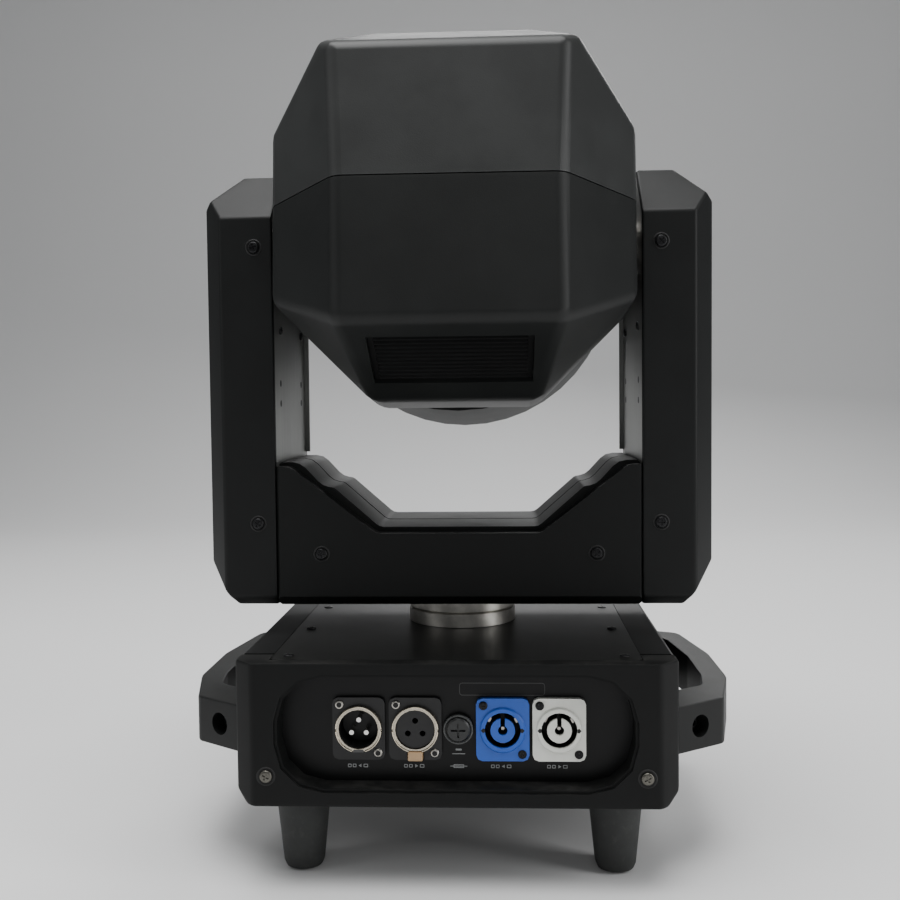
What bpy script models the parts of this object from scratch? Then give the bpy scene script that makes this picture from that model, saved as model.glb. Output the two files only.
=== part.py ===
"""Moving head wash light: a base on four feet, a panning yoke and a tilting head.

Metres, +Z up. The origin is the centre of the base's underside, on the pan axis. The connector side
faces -Y and the display side faces +Y. The head rests nearly level, with its lens towards +Y.
"""

import math

import bmesh
import bpy
from mathutils import Matrix, Vector

# Clearances
FIT = 0.0003  # between pieces that touch
RUN = 0.0004  # radial, between pieces that turn on each other

# Base housing
BASE_WIDTH = 0.217
BASE_DEPTH = 0.220
BASE_HEIGHT = 0.071
BASE_WALL = 0.003
BASE_ROOF = 0.0055  # end covers' top wall, thick enough to carry the top plate's ledge
BASE_CORNER = 0.0095  # chamfer on the end covers' upright corners
BASE_FOOT_CORNER = 0.006  # chamfer along the lower edges
PAD_STEP = 0.001  # the flat pad between the feet stands this far out of the floor
END_COVER_DEPTH = 0.020
TOP_RIM = 0.0175  # chassis rim on each side of the top plate
TOP_RIM_END = 0.007  # end cover rim before and behind the top plate
TOP_LEDGE = 0.005
TOP_PLATE = 0.002
VENT_COUNT = 10
VENT_PITCH = 0.0095
VENT_WIDTH = 0.0035
VENT_LENGTH = 0.034
VENT_LEAN = math.radians(38)

# Connector side
WINDOW_WIDTH = 0.173
WINDOW_HEIGHT = 0.055
WINDOW_RADIUS = 0.022
WINDOW_Z = 0.0364
WINDOW_DEPTH = 0.014
WINDOW_FLARE = 0.0015
WINDOW_COLLAR = 0.004
PANEL = 0.0015
PANEL_MARGIN = 0.006
CONNECTOR_Z = 0.0355
FLANGE_WIDTH = 0.026
FLANGE_HEIGHT = 0.031
FLANGE = 0.002
CUTOUT_RADIUS = 0.012
XLR_IN_X = -0.048
XLR_OUT_X = -0.020
XLR_RING = 0.0115
XLR_BORE = 0.0098
XLR_PROUD = 0.0018
XLR_LENGTH = 0.020
XLR_PIN_CIRCLE = 0.0042
XLR_PIN = 0.0012
TAB_WIDTH = 0.0075
TAB_HEIGHT = 0.0048
TAB_DROP = 0.0132
FUSE_X = 0.0012
FUSE_RIM = 0.0075
FUSE_CAP = 0.0060
FUSE_BODY = 0.0056
FUSE_BORE = 0.0045
POWER_IN_X = 0.023
POWER_OUT_X = 0.0506
POWER_FLANGE = 0.0032
POWER_COLLAR = 0.0112
POWER_RECESS = 0.0088
POWER_CORE = 0.0060

# Display side
DISPLAY_WINDOW_WIDTH = 0.132
DISPLAY_WINDOW_HEIGHT = 0.046
DISPLAY_WINDOW_RADIUS = 0.010
DISPLAY_DEPTH = 0.006
SCREEN_WIDTH = 0.058
SCREEN_HEIGHT = 0.032
SCREEN_X = 0.028
BUTTON_RADIUS = 0.0042
BUTTON_PROUD = 0.0022
BUTTON_PITCH = 0.0135
BUTTON_X = -0.034

# Feet and handles
FOOT_HEIGHT = 0.0425
FOOT_TOP = 0.014
FOOT_TIP = 0.0105
FOOT_ROUND = 0.004
FOOT_X = 0.080
FOOT_Y = 0.0755
HANDLE_REACH = 0.0375  # from the base's side to the bow's outer edge
HANDLE_BAR = 0.0135
HANDLE_REAR = 0.089  # rear root, behind the pan axis
HANDLE_FRONT = 0.096
HANDLE_ROOT = 0.030
HANDLE_HEIGHT = 0.024
HANDLE_Z = 0.032
HANDLE_RECESS = 0.0058

# Pan axis
PAN_GAP = 0.016  # from the base's top to the yoke
HUB_RADIUS = 0.0305
HUB_SLEEVE = 0.020
HUB_BORE = 0.014
HUB_COLLAR = 0.0077
BELT_PITCH = 0.005
BELT = 0.0016
BELT_WIDTH = 0.008
PULLEY_WIDTH = 0.010
TOOTH = 0.0012
PAN_TEETH = 48
TILT_TEETH = 36
DRIVE_TEETH = 12
PAN_MOTOR_X = -0.074
MOTOR_SIZE = 0.042
MOTOR_CORNER = 0.005
MOTOR_SHAFT = 0.0025
PAN_MOTOR_HEIGHT = 0.025
EAR = 0.002

# Yoke
YOKE_WALL = 0.003
YOKE_DEPTH = 0.096
ARM_INNER = 0.09775  # half of the gap between the arms
ARM_OUTER = 0.137
ARM_TOP = 0.321
ARM_SHOULDER = 0.026  # slope at the arm's top, towards -Y and +Y
ARM_CORNER = 0.019  # bevel at the arm's outer top corner
ARM_HEEL_X = 0.017
ARM_HEEL_Z = 0.022
ARM_CHEEK = 0.011  # chamfer from the arm's flat faces to its outer side, across and along
ARM_CHEEK_RUN = 0.016
YOKE_SKIRT = 0.005
ARM_PLATE = 0.002
ARM_LIP = 0.0025
ARM_LIP_LOW = 0.166
ARM_LIP_HIGH = 0.288
YOKE_PLATE = 0.003
SADDLE_FLAT = 0.043  # half-width of the saddle's flat middle
SADDLE_Z = 0.1285
SADDLE_LEDGE_IN = 0.0675
SADDLE_LEDGE_OUT = 0.074
SADDLE_LEDGE_Z = 0.150
SADDLE_HORN = 0.086
SADDLE_HORN_Z = 0.164
SADDLE_FACE_Z = 0.126
SADDLE_FACE_HORN = 0.0900
SADDLE_FACE_HORN_Z = 0.1620
SADDLE_FACE_RISE = 0.0006  # from the outer face's horn to the arm
SADDLE_RIB_SETBACK = 0.009

# Tilt axis
TILT_Z = 0.283
TILT_REST = math.radians(-5.5)
AXLE_FLANGE = 0.01835
AXLE_STEP = 0.0150
AXLE_SHAFT = 0.010
AXLE_BORE = 0.006
BEARING = 0.016
BEARING_WIDTH = 0.0032
TILT_PULLEY_X = 0.104
TILT_MOTOR_Z = 0.150
TILT_MOTOR_HEIGHT = 0.0175

# Head casing, in the head's own axes: origin on the tilt axis, +Y towards the lens
HEAD_WALL = 0.003
HEAD_SIDE = 0.092
HEAD_TOP = 0.093
HEAD_DIAGONAL = 0.0955
HEAD_REAR = 0.127
HEAD_REAR_HALF = 0.0528
HEAD_SIDE_START = 0.075
HEAD_CROWN_Z = 0.069
HEAD_CROWN_SLOPE = math.radians(27)
HEAD_REAR_LEAN = math.radians(3)
HEAD_LEAN_DROP = 0.002  # the lean starts this far under the seam
HEAD_CHIN_Z = 0.062
HEAD_CHIN_SLOPE = math.radians(25.3)
HEAD_SEAM = 0.005
HEAD_ROUNDING = 0.0045
DRUM_RADIUS = 0.0942
DRUM_START = -0.020
DRUM_END = 0.085
HEAD_PASSAGE = 0.088  # the round way from the drum into the rear covers
BEZEL_END = 0.095
BEZEL_INNER = 0.084
LENS_PITCH = 0.033
LENS_HOLE = 0.0147
LENS_RADIUS = 0.0140
LENS_RISE = 0.003  # each lens past the face that frames it
LENS_PLATE_Y = 0.080
GRILLE_WIDTH = 0.078
GRILLE_LENGTH = 0.040
GRILLE_START = 0.014  # along the chin facet, from its rear edge
GRILLE_SLATS = 10
GRILLE = 0.0022

# Inside the head
FRAME_HALF = 0.087
FRAME_SHEET = 0.003
FRAME_Y = 0.020
FRAME_HALF_HEIGHT = 0.025
SINK_HALF = 0.066
SINK_HALF_HEIGHT = 0.056
SINK_FLOOR = 0.0055
SINK_DEPTH = 0.062
SINK_FINS = 13
SINK_FIN = 0.002
FAN_SIZE = 0.092
FAN_DEPTH = 0.025
FAN_BORE = 0.043
FAN_HUB = 0.017
FAN_BLADES = 7
FAN_STRUT = 0.005

# Heights and places that follow from the sizes above
HALF_WIDTH = BASE_WIDTH / 2
HALF_DEPTH = BASE_DEPTH / 2
YOKE_Z = BASE_HEIGHT + PAN_GAP
HALF_YOKE = YOKE_DEPTH / 2
PAD_HALF = FOOT_X - FOOT_TOP - 0.003
PLATE_Z = YOKE_Z + YOKE_WALL + FIT
PLATE_TOP = PLATE_Z + YOKE_PLATE
PAN_PULLEY_Z = PLATE_TOP + 0.0018
PAN_MOTOR_Z = PAN_PULLEY_Z + PULLEY_WIDTH + 0.0018
PANEL_Y = -HALF_DEPTH + WINDOW_DEPTH + FIT
DISPLAY_Y = HALF_DEPTH - DISPLAY_DEPTH - FIT
CROSSBAR_END = ARM_INNER - FIT
TILT_MOTOR_X = TILT_PULLEY_X + PULLEY_WIDTH + 0.0015

CHARCOAL = (0.020, 0.022, 0.022)
BLACK = (0.010, 0.010, 0.011)
STEEL = (0.60, 0.60, 0.58)
GREY = (0.35, 0.36, 0.35)

PARTS = None
CUTTERS = None


def clear_scene():
    for obj in list(bpy.data.objects):
        bpy.data.objects.remove(obj, do_unlink=True)


def new_collection(name):
    made = bpy.data.collections.new(name)
    bpy.context.scene.collection.children.link(made)
    return made


def finish(obj, colour, roughness, metallic=0.0):
    """Give an object its own material."""
    made = bpy.data.materials.new(obj.name + "_finish")
    made.use_nodes = True
    shader = made.node_tree.nodes["Principled BSDF"]
    shader.inputs["Base Color"].default_value = (*colour, 1.0)
    shader.inputs["Roughness"].default_value = roughness
    shader.inputs["Metallic"].default_value = metallic
    made.diffuse_color = (*colour, 1.0)
    obj.data.materials.clear()
    obj.data.materials.append(made)
    return obj


# ---- Shapes ----


def add_object(name, data, at=(0, 0, 0), turn=(0, 0, 0), parent=None, cutter=False):
    obj = bpy.data.objects.new(name, data)
    (CUTTERS if cutter else PARTS).objects.link(obj)
    obj.location = at
    obj.rotation_euler = turn
    obj.parent = parent
    if cutter:
        obj.hide_render = True
        obj.display_type = "WIRE"
    return obj


def mesh_object(name, bm, **place):
    bmesh.ops.recalc_face_normals(bm, faces=bm.faces[:])
    mesh = bpy.data.meshes.new(name)
    bm.to_mesh(mesh)
    bm.free()
    mesh.shade_smooth()
    mesh.set_sharp_from_angle(angle=math.radians(35))
    return add_object(name, mesh, **place)


def box(name, low, high, **place):
    """A box between two corners."""
    low, high = Vector(low), Vector(high)
    size = high - low
    bm = bmesh.new()
    bmesh.ops.create_cube(bm, size=1.0, matrix=Matrix.Diagonal((*size, 1.0)))
    bmesh.ops.translate(bm, verts=bm.verts[:], vec=(low + high) / 2)
    return mesh_object(name, bm, **place)


def add_cylinder(bm, radius, start, end, segments=32, end_radius=None):
    """Add a cylinder or cone between two points."""
    start, end = Vector(start), Vector(end)
    along = end - start
    turn = along.to_track_quat("Z", "Y").to_matrix().to_4x4()
    bmesh.ops.create_cone(
        bm,
        cap_ends=True,
        segments=segments,
        radius1=radius,
        radius2=radius if end_radius is None else end_radius,
        depth=along.length,
        matrix=Matrix.Translation((start + end) / 2) @ turn,
    )


def cylinder(name, radius, start, end, segments=32, **place):
    bm = bmesh.new()
    add_cylinder(bm, radius, start, end, segments)
    return mesh_object(name, bm, **place)


def faceted(name, facets, **place):
    """The convex block inside all the facets, each (normal, distance from the origin)."""
    bm = bmesh.new()
    bmesh.ops.create_cube(bm, size=2.0)
    for normal, distance in facets:
        normal = Vector(normal)
        distance /= normal.length
        normal.normalize()
        bmesh.ops.bisect_plane(
            bm,
            geom=bm.verts[:] + bm.edges[:] + bm.faces[:],
            dist=1e-6,
            plane_co=normal * distance,
            plane_no=normal,
            clear_outer=True,
        )
        bmesh.ops.remove_doubles(bm, verts=bm.verts[:], dist=1e-5)
        bmesh.ops.holes_fill(bm, edges=[edge for edge in bm.edges if edge.is_boundary], sides=0)
    return mesh_object(name, bm, **place)


def inwards(facets, wall):
    """The same facets, each moved in by the wall."""
    return [(normal, distance - wall * Vector(normal).length) for normal, distance in facets]


def facet(first, second, along):
    """The facet through two points and along a direction, facing away from the origin."""
    first, second = Vector(first), Vector(second)
    normal = (second - first).cross(Vector(along)).normalized()
    distance = normal.dot(first)
    if distance < 0:
        normal, distance = -normal, -distance
    return tuple(normal), distance


def rounded(corners, steps=4):
    """A closed outline whose corners are (x, y, radius), each turned into an arc."""
    points = []
    count = len(corners)
    for index, (x, y, radius) in enumerate(corners):
        here = Vector((x, y))
        before = (Vector(corners[index - 1][:2]) - here).normalized()
        after = (Vector(corners[(index + 1) % count][:2]) - here).normalized()
        if radius <= 0:
            points.append(here)
            continue
        half = before.angle(after) / 2
        centre = here + (before + after).normalized() * radius / math.sin(half)
        start = here + before * radius / math.tan(half) - centre
        end = here + after * radius / math.tan(half) - centre
        sweep = start.angle_signed(end)
        for step in range(steps + 1):
            turn = Matrix.Rotation(-sweep * step / steps, 2)
            points.append(centre + turn @ start)
    return points


def inset(points, distance):
    """A counter-clockwise outline moved inwards, with its corners kept sharp."""
    moved = []
    count = len(points)
    for index, here in enumerate(points):
        before = (here - points[index - 1]).normalized()
        after = (points[(index + 1) % count] - here).normalized()
        first = Vector((-before.y, before.x))
        second = Vector((-after.y, after.x))
        moved.append(here + (first + second) * distance / (1 + first.dot(second)))
    return moved


def rectangle(width, height, radius, x=0.0, y=0.0, steps=3):
    half, rise = width / 2, height / 2
    return rounded(
        [
            (x - half, y - rise, radius),
            (x + half, y - rise, radius),
            (x + half, y + rise, radius),
            (x - half, y + rise, radius),
        ],
        steps,
    )


def circle(radius, segments=32, x=0.0, y=0.0):
    turns = [2 * math.pi * (index + 0.5) / segments for index in range(segments)]
    return [Vector((x + radius * math.cos(turn), y + radius * math.sin(turn))) for turn in turns]


ACROSS = {
    "XY": (0, 0, 0),
    "XZ": (math.pi / 2, 0, 0),
    "YZ": (math.pi / 2, 0, math.pi / 2),
}


def prism(name, outlines, plane, low, high, parent=None, cutter=False):
    """Flat outlines, the later ones as holes, drawn in a plane and made solid from low to high across it."""
    curve = bpy.data.curves.new(name, "CURVE")
    curve.dimensions = "2D"
    curve.fill_mode = "BOTH"
    curve.extrude = (high - low) / 2
    for outline in outlines:
        spline = curve.splines.new("POLY")
        spline.points.add(len(outline) - 1)
        for point, (x, y) in zip(spline.points, outline):
            point.co = (x, y, 0, 1)
        spline.use_cyclic_u = True
    middle = (high + low) / 2
    offset = {"XY": (0, 0, middle), "XZ": (0, middle, 0), "YZ": (middle, 0, 0)}[plane]
    drawn = add_object(name, curve, at=offset, turn=ACROSS[plane])
    evaluated = drawn.evaluated_get(bpy.context.evaluated_depsgraph_get())
    mesh = bpy.data.meshes.new_from_object(evaluated)
    bpy.data.objects.remove(drawn, do_unlink=True)
    bm = bmesh.new()
    bm.from_mesh(mesh)
    bpy.data.meshes.remove(mesh)
    bmesh.ops.remove_doubles(bm, verts=bm.verts[:], dist=1e-6)
    if len(outlines) == 1:
        limit = math.radians(1)
        bmesh.ops.dissolve_limit(bm, angle_limit=limit, verts=bm.verts[:], edges=bm.edges[:])
    return mesh_object(name, bm, at=offset, turn=ACROSS[plane], parent=parent, cutter=cutter)


AXIS_TURN = {
    "+X": (0, math.pi / 2, 0),
    "-X": (0, -math.pi / 2, 0),
    "+Y": (-math.pi / 2, 0, 0),
    "-Y": (math.pi / 2, 0, 0),
    "+Z": (0, 0, 0),
}


def turned(name, profile, axis="+Z", at=(0, 0, 0), segments=24, parent=None, cutter=False):
    """A profile of (radius, distance along the axis), down its outer side, turned about the axis."""
    bm = bmesh.new()
    points = [bm.verts.new((radius, 0, height)) for radius, height in profile]
    on_axis = profile[0][0] == 0
    for index in range(len(points) - on_axis):
        bm.edges.new((points[index], points[(index + 1) % len(points)]))
    mesh = bpy.data.meshes.new(name)
    bm.to_mesh(mesh)
    bm.free()
    obj = add_object(name, mesh, at=at, turn=AXIS_TURN[axis], parent=parent, cutter=cutter)
    screw = obj.modifiers.new("turn", "SCREW")
    screw.steps = segments
    screw.render_steps = segments
    screw.use_merge_vertices = True
    screw.merge_threshold = 0.00002
    screw.use_smooth_shade = True
    return obj


def bevel(obj, width, segments=2, angle=40):
    modifier = obj.modifiers.new("bevel", "BEVEL")
    modifier.width = width
    modifier.segments = segments
    modifier.limit_method = "ANGLE"
    modifier.angle_limit = math.radians(angle)
    return obj


def combine(obj, operation, others):
    for other in others:
        modifier = obj.modifiers.new(operation.lower(), "BOOLEAN")
        modifier.operation = operation
        modifier.solver = "EXACT"
        modifier.object = other
    return obj


def cut(obj, *cutters):
    return combine(obj, "DIFFERENCE", cutters)


def join(obj, *others):
    return combine(obj, "UNION", others)


def mirrored(outline):
    """An outline on the other side of its first axis, still counter-clockwise."""
    return [Vector((-point[0], point[1])) for point in reversed(outline)]


# ---- Base ----


def chassis_outline():
    """Section of the base's chassis: floor, side walls, top rims and the ledges under the top plate."""
    ledge_x = HALF_WIDTH - TOP_RIM
    ledge_z = BASE_HEIGHT - TOP_PLATE - FIT
    under = ledge_z - BASE_WALL
    corner = BASE_FOOT_CORNER
    right = [
        (PAD_HALF, 0, 0),
        (PAD_HALF, PAD_STEP, 0),
        (HALF_WIDTH - corner + PAD_STEP, PAD_STEP, 0.002),
        (HALF_WIDTH, corner, 0.003),
        (HALF_WIDTH, BASE_HEIGHT, 0.0025),
        (ledge_x, BASE_HEIGHT, 0),
        (ledge_x, ledge_z, 0),
        (ledge_x - TOP_LEDGE, ledge_z, 0),
        (ledge_x - TOP_LEDGE, under, 0),
        (HALF_WIDTH - BASE_WALL, under, 0.002),
        (HALF_WIDTH - BASE_WALL, corner + BASE_WALL * 0.4, 0),
        (HALF_WIDTH - corner - BASE_WALL * 0.4, BASE_WALL, 0),
    ]
    left = [(-x, z, radius) for x, z, radius in reversed(right)]
    return rounded(right + left, steps=1)


def make_chassis():
    seam = HALF_DEPTH - END_COVER_DEPTH - FIT
    chassis = prism("base_chassis", [chassis_outline()], "XZ", -seam, seam)
    bm = bmesh.new()
    size = Matrix.Diagonal((BASE_WIDTH + 0.02, VENT_WIDTH, VENT_LENGTH, 1.0))
    for index in range(VENT_COUNT):
        y = (index - (VENT_COUNT - 1) / 2) * VENT_PITCH
        place = Matrix.Translation((0, y, BASE_HEIGHT / 2)) @ Matrix.Rotation(VENT_LEAN, 4, "X")
        bmesh.ops.create_cube(bm, size=1.0, matrix=place @ size)
    cut(chassis, mesh_object("vent_cutter", bm, cutter=True))
    return finish(chassis, CHARCOAL, 0.55, 0.2)


def end_cover_facets(facing):
    """Facets of an end cover; facing is -1 for the connector side and +1 for the display side."""
    corner = BASE_CORNER
    low = BASE_FOOT_CORNER
    facets = [((0, facing, 0), HALF_DEPTH), ((0, 0, 1), BASE_HEIGHT), ((0, 0, -1), 0.0)]
    for side in (-1, 1):
        facets.append(((side, 0, 0), HALF_WIDTH))
        facets.append(((side, facing, 0), HALF_WIDTH + HALF_DEPTH - corner))
        facets.append(((side, 0, -1), HALF_WIDTH - low))
    return facets


def end_cover(name, facing, window, depth, flare):
    """A moulded end cover: a shell with a window whose collar runs in to the panel behind it."""
    width, height, radius, x, z = window
    facets = end_cover_facets(facing)
    seam = HALF_DEPTH - END_COVER_DEPTH
    cover = faceted(name, facets + [((0, -facing, 0), -seam)])
    bevel(cover, 0.0020, 2, 30)

    inner = inwards(facets, BASE_WALL)
    inner[1] = ((0, 0, 1), BASE_HEIGHT - BASE_ROOF)
    hollow = faceted(name + "_hollow", inner + [((0, -facing, 0), -seam + 0.01)], cutter=True)
    collar_outline = rectangle(
        width + 2 * WINDOW_COLLAR, height + 2 * WINDOW_COLLAR, radius + WINDOW_COLLAR, x, z
    )
    near, far = sorted((facing * (HALF_DEPTH + 0.01), facing * (HALF_DEPTH - depth)))
    collar = prism(name + "_collar", [collar_outline], "XZ", near, far, cutter=True)
    cut(hollow, collar)

    near, far = sorted((facing * (HALF_DEPTH + 0.02), facing * (HALF_DEPTH - depth - 0.003)))
    opening = prism(
        name + "_opening", [rectangle(width, height, radius, x, z)], "XZ", near, far, cutter=True
    )
    near, far = sorted((facing * (HALF_DEPTH + 0.02), facing * (HALF_DEPTH - flare)))
    lip_outline = rectangle(width + 2 * flare, height + 2 * flare, radius + flare, x, z)
    lip = prism(name + "_lip", [lip_outline], "XZ", near, far, cutter=True)

    ledge_y = sorted((facing * (HALF_DEPTH - TOP_RIM_END), facing * (seam - 0.01)))
    ledge_x = HALF_WIDTH - TOP_RIM
    ledge = box(
        name + "_ledge",
        (-ledge_x, ledge_y[0], BASE_HEIGHT - TOP_PLATE - FIT),
        (ledge_x, ledge_y[1], BASE_HEIGHT + 0.01),
        cutter=True,
    )
    cut(cover, hollow, opening, lip, ledge)
    return finish(cover, CHARCOAL, 0.5)


def make_base_housing():
    make_chassis()
    end_cover(
        "base_rear_cover",
        -1,
        (WINDOW_WIDTH, WINDOW_HEIGHT, WINDOW_RADIUS, 0.0, WINDOW_Z),
        WINDOW_DEPTH,
        WINDOW_FLARE,
    )
    end_cover(
        "base_front_cover",
        1,
        (DISPLAY_WINDOW_WIDTH, DISPLAY_WINDOW_HEIGHT, DISPLAY_WINDOW_RADIUS, 0.0, WINDOW_Z),
        DISPLAY_DEPTH,
        WINDOW_FLARE,
    )
    half_x = HALF_WIDTH - TOP_RIM - FIT
    half_y = HALF_DEPTH - TOP_RIM_END - FIT
    plate_outlines = [rectangle(2 * half_x, 2 * half_y, 0.002, steps=1), circle(HUB_SLEEVE + RUN, 32)]
    top = BASE_HEIGHT
    plate = prism("base_top_plate", plate_outlines, "XY", top - TOP_PLATE, top)
    finish(plate, CHARCOAL, 0.45, 0.4)


# ---- Connector side ----


def flange_outline(x):
    return rectangle(FLANGE_WIDTH, FLANGE_HEIGHT, 0.003, x, CONNECTOR_Z, steps=2)


def make_connector_panel():
    margin = WINDOW_WIDTH / 2 + PANEL_MARGIN
    low, high = BASE_WALL + FIT, BASE_HEIGHT - BASE_ROOF - FIT
    outline = rectangle(2 * margin, high - low, 0.003, 0, (low + high) / 2, steps=1)
    panel = prism("connector_panel", [outline], "XZ", PANEL_Y, PANEL_Y + PANEL)
    bm = bmesh.new()
    places = [(x, CUTOUT_RADIUS) for x in (XLR_IN_X, XLR_OUT_X, POWER_IN_X, POWER_OUT_X)]
    for x, radius in places + [(FUSE_X, FUSE_BODY)]:
        start, end = (x, PANEL_Y - 0.01, CONNECTOR_Z), (x, PANEL_Y + 0.01, CONNECTOR_Z)
        add_cylinder(bm, radius + FIT, start, end, 16)
    cut(panel, mesh_object("panel_cutouts", bm, cutter=True), tab_slot("panel_tab_slot"))
    return finish(panel, BLACK, 0.4)


def tab_slot(name):
    """The way through for the release tab under the output connector."""
    z = CONNECTOR_Z - TAB_DROP
    half, rise = TAB_WIDTH / 2 + 0.0005, TAB_HEIGHT / 2 + 0.0005
    low = (XLR_OUT_X - half, PANEL_Y - 0.01, z - rise)
    high = (XLR_OUT_X + half, PANEL_Y + 0.01, z + rise)
    return box(name, low, high, cutter=True)


def three_points(circle_radius, first_turn):
    for index in range(3):
        turn = first_turn + index * 2 * math.pi / 3
        yield circle_radius * math.cos(turn), circle_radius * math.sin(turn)


def xlr_shell(name, x):
    """Metal shell of a three-pole chassis connector: a flange and the tube that the plug enters."""
    face = PANEL_Y - FIT
    flange = prism(
        name,
        [flange_outline(x), circle(XLR_BORE + 0.0006, 20, x, CONNECTOR_Z)],
        "XZ",
        face - FLANGE,
        face,
    )
    front = FLANGE + XLR_PROUD
    back = XLR_LENGTH
    profile = [
        (XLR_RING - 0.0004, front),
        (XLR_RING, front - 0.0004),
        (XLR_RING, -back),
        (XLR_BORE, -back),
        (XLR_BORE, front),
    ]
    tube = turned(name + "_tube", profile, "-Y", (x, face, CONNECTOR_Z), cutter=True)
    return finish(join(flange, tube), STEEL, 0.3, 1.0)


def make_xlr():
    face = PANEL_Y - FIT
    core = XLR_BORE - FIT
    xlr_shell("xlr_input_shell", XLR_IN_X)
    place = (XLR_IN_X, face, CONNECTOR_Z)
    insert = turned(
        "xlr_input_insert",
        [(0, -0.009), (core, -0.009), (core, -XLR_LENGTH), (0, -XLR_LENGTH)],
        "-Y",
        place,
        24,
    )
    bm = bmesh.new()
    for px, pz in three_points(XLR_PIN_CIRCLE, math.pi / 2):
        add_cylinder(bm, XLR_PIN, (px, 0.010, pz), (px, -0.0015, pz), 10)
    pins = mesh_object("xlr_pins", bm, at=place, cutter=True)
    finish(join(insert, pins), BLACK, 0.4)

    shell = xlr_shell("xlr_output_shell", XLR_OUT_X)
    cut(shell, tab_slot("shell_tab_slot"))
    place = (XLR_OUT_X, face, CONNECTOR_Z)
    front = FLANGE + 0.0006
    insert = turned(
        "xlr_output_insert",
        [(0, front), (core, front), (core, -XLR_LENGTH), (0, -XLR_LENGTH)],
        "-Y",
        place,
        24,
    )
    bm = bmesh.new()
    for px, pz in three_points(XLR_PIN_CIRCLE, math.pi / 2):
        add_cylinder(bm, XLR_PIN * 1.25, (px, 0.008, pz), (px, -0.01, pz), 10)
    holes = mesh_object("xlr_holes", bm, at=place, cutter=True)
    finish(cut(insert, holes), BLACK, 0.45)

    z = CONNECTOR_Z - TAB_DROP
    half, rise = TAB_WIDTH / 2, TAB_HEIGHT / 2
    bm = bmesh.new()
    bmesh.ops.create_cube(bm, size=1.0, matrix=Matrix.Diagonal((2 * half, 0.008, 2 * rise, 1.0)))
    proud = face - FLANGE - 0.0026
    tab = mesh_object("xlr_release_tab", bm, at=(XLR_OUT_X, proud + 0.004, z))
    finish(bevel(tab, 0.0008, 2), (0.55, 0.42, 0.30), 0.35, 0.8)


def make_fuse():
    face = PANEL_Y - FIT
    place = (FUSE_X, face, CONNECTOR_Z)
    profile = [
        (FUSE_RIM - 0.0006, 0.0030),
        (FUSE_RIM, 0.0024),
        (FUSE_RIM, 0),
        (FUSE_BODY, 0),
        (FUSE_BODY, -0.024),
        (FUSE_BORE, -0.024),
        (FUSE_BORE, 0.0010),
        (FUSE_CAP + FIT, 0.0010),
        (FUSE_CAP + FIT, 0.0030),
    ]
    finish(turned("fuse_holder", profile, "-Y", place, 20), BLACK, 0.4)
    stem = FUSE_BORE - FIT
    profile = [
        (0, 0.0048),
        (FUSE_CAP - 0.0008, 0.0048),
        (FUSE_CAP, 0.0040),
        (FUSE_CAP, 0.0013),
        (stem, 0.0013),
        (stem, -0.018),
        (0, -0.018),
    ]
    cap = turned("fuse_cap", profile, "-Y", place, 20)
    half, slot = 0.0036, 0.0005
    deep, out = -0.0032, -0.0060
    across = box("fuse_slot_a", (-half, out, -slot), (half, deep, slot), at=place, cutter=True)
    upright = box("fuse_slot_b", (-slot, out, -half), (slot, deep, half), at=place, cutter=True)
    finish(cut(cap, across, upright), BLACK, 0.35)


def power_connector(name, x, colour):
    """Locking mains connector: a moulded flange, a collar and a keyed core in a ring-shaped recess."""
    face = PANEL_Y - FIT
    place = (x, face, CONNECTOR_Z)
    body = prism(name, [flange_outline(x)], "XZ", face - POWER_FLANGE, face)
    front = POWER_FLANGE + 0.0012
    collar = CUTOUT_RADIUS
    profile = [
        (0, front),
        (POWER_COLLAR - 0.0006, front),
        (POWER_COLLAR, front - 0.0006),
        (POWER_COLLAR, POWER_FLANGE * 0.5),
        (collar, POWER_FLANGE * 0.5),
        (collar, -0.020),
        (0, -0.020),
    ]
    barrel = turned(name + "_barrel", profile, "-Y", place, cutter=True)
    ring = [
        (POWER_RECESS, front + 0.01),
        (POWER_RECESS, -0.010),
        (POWER_CORE, -0.010),
        (POWER_CORE, front + 0.01),
    ]
    recess = turned(name + "_recess", ring, "-Y", place, cutter=True)
    eye = [(0, front + 0.01), (0.0024, front + 0.01), (0.0024, -0.007), (0, -0.007)]
    core = turned(name + "_eye", eye, "-Y", place, 12, cutter=True)
    key = box(name + "_key", (-0.0011, -0.012, 0), (0.0011, 0.006, 0.0074), at=place, cutter=True)
    join(body, barrel)
    cut(body, recess, core, key)
    return finish(body, colour, 0.35)


# ---- Display side ----


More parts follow.
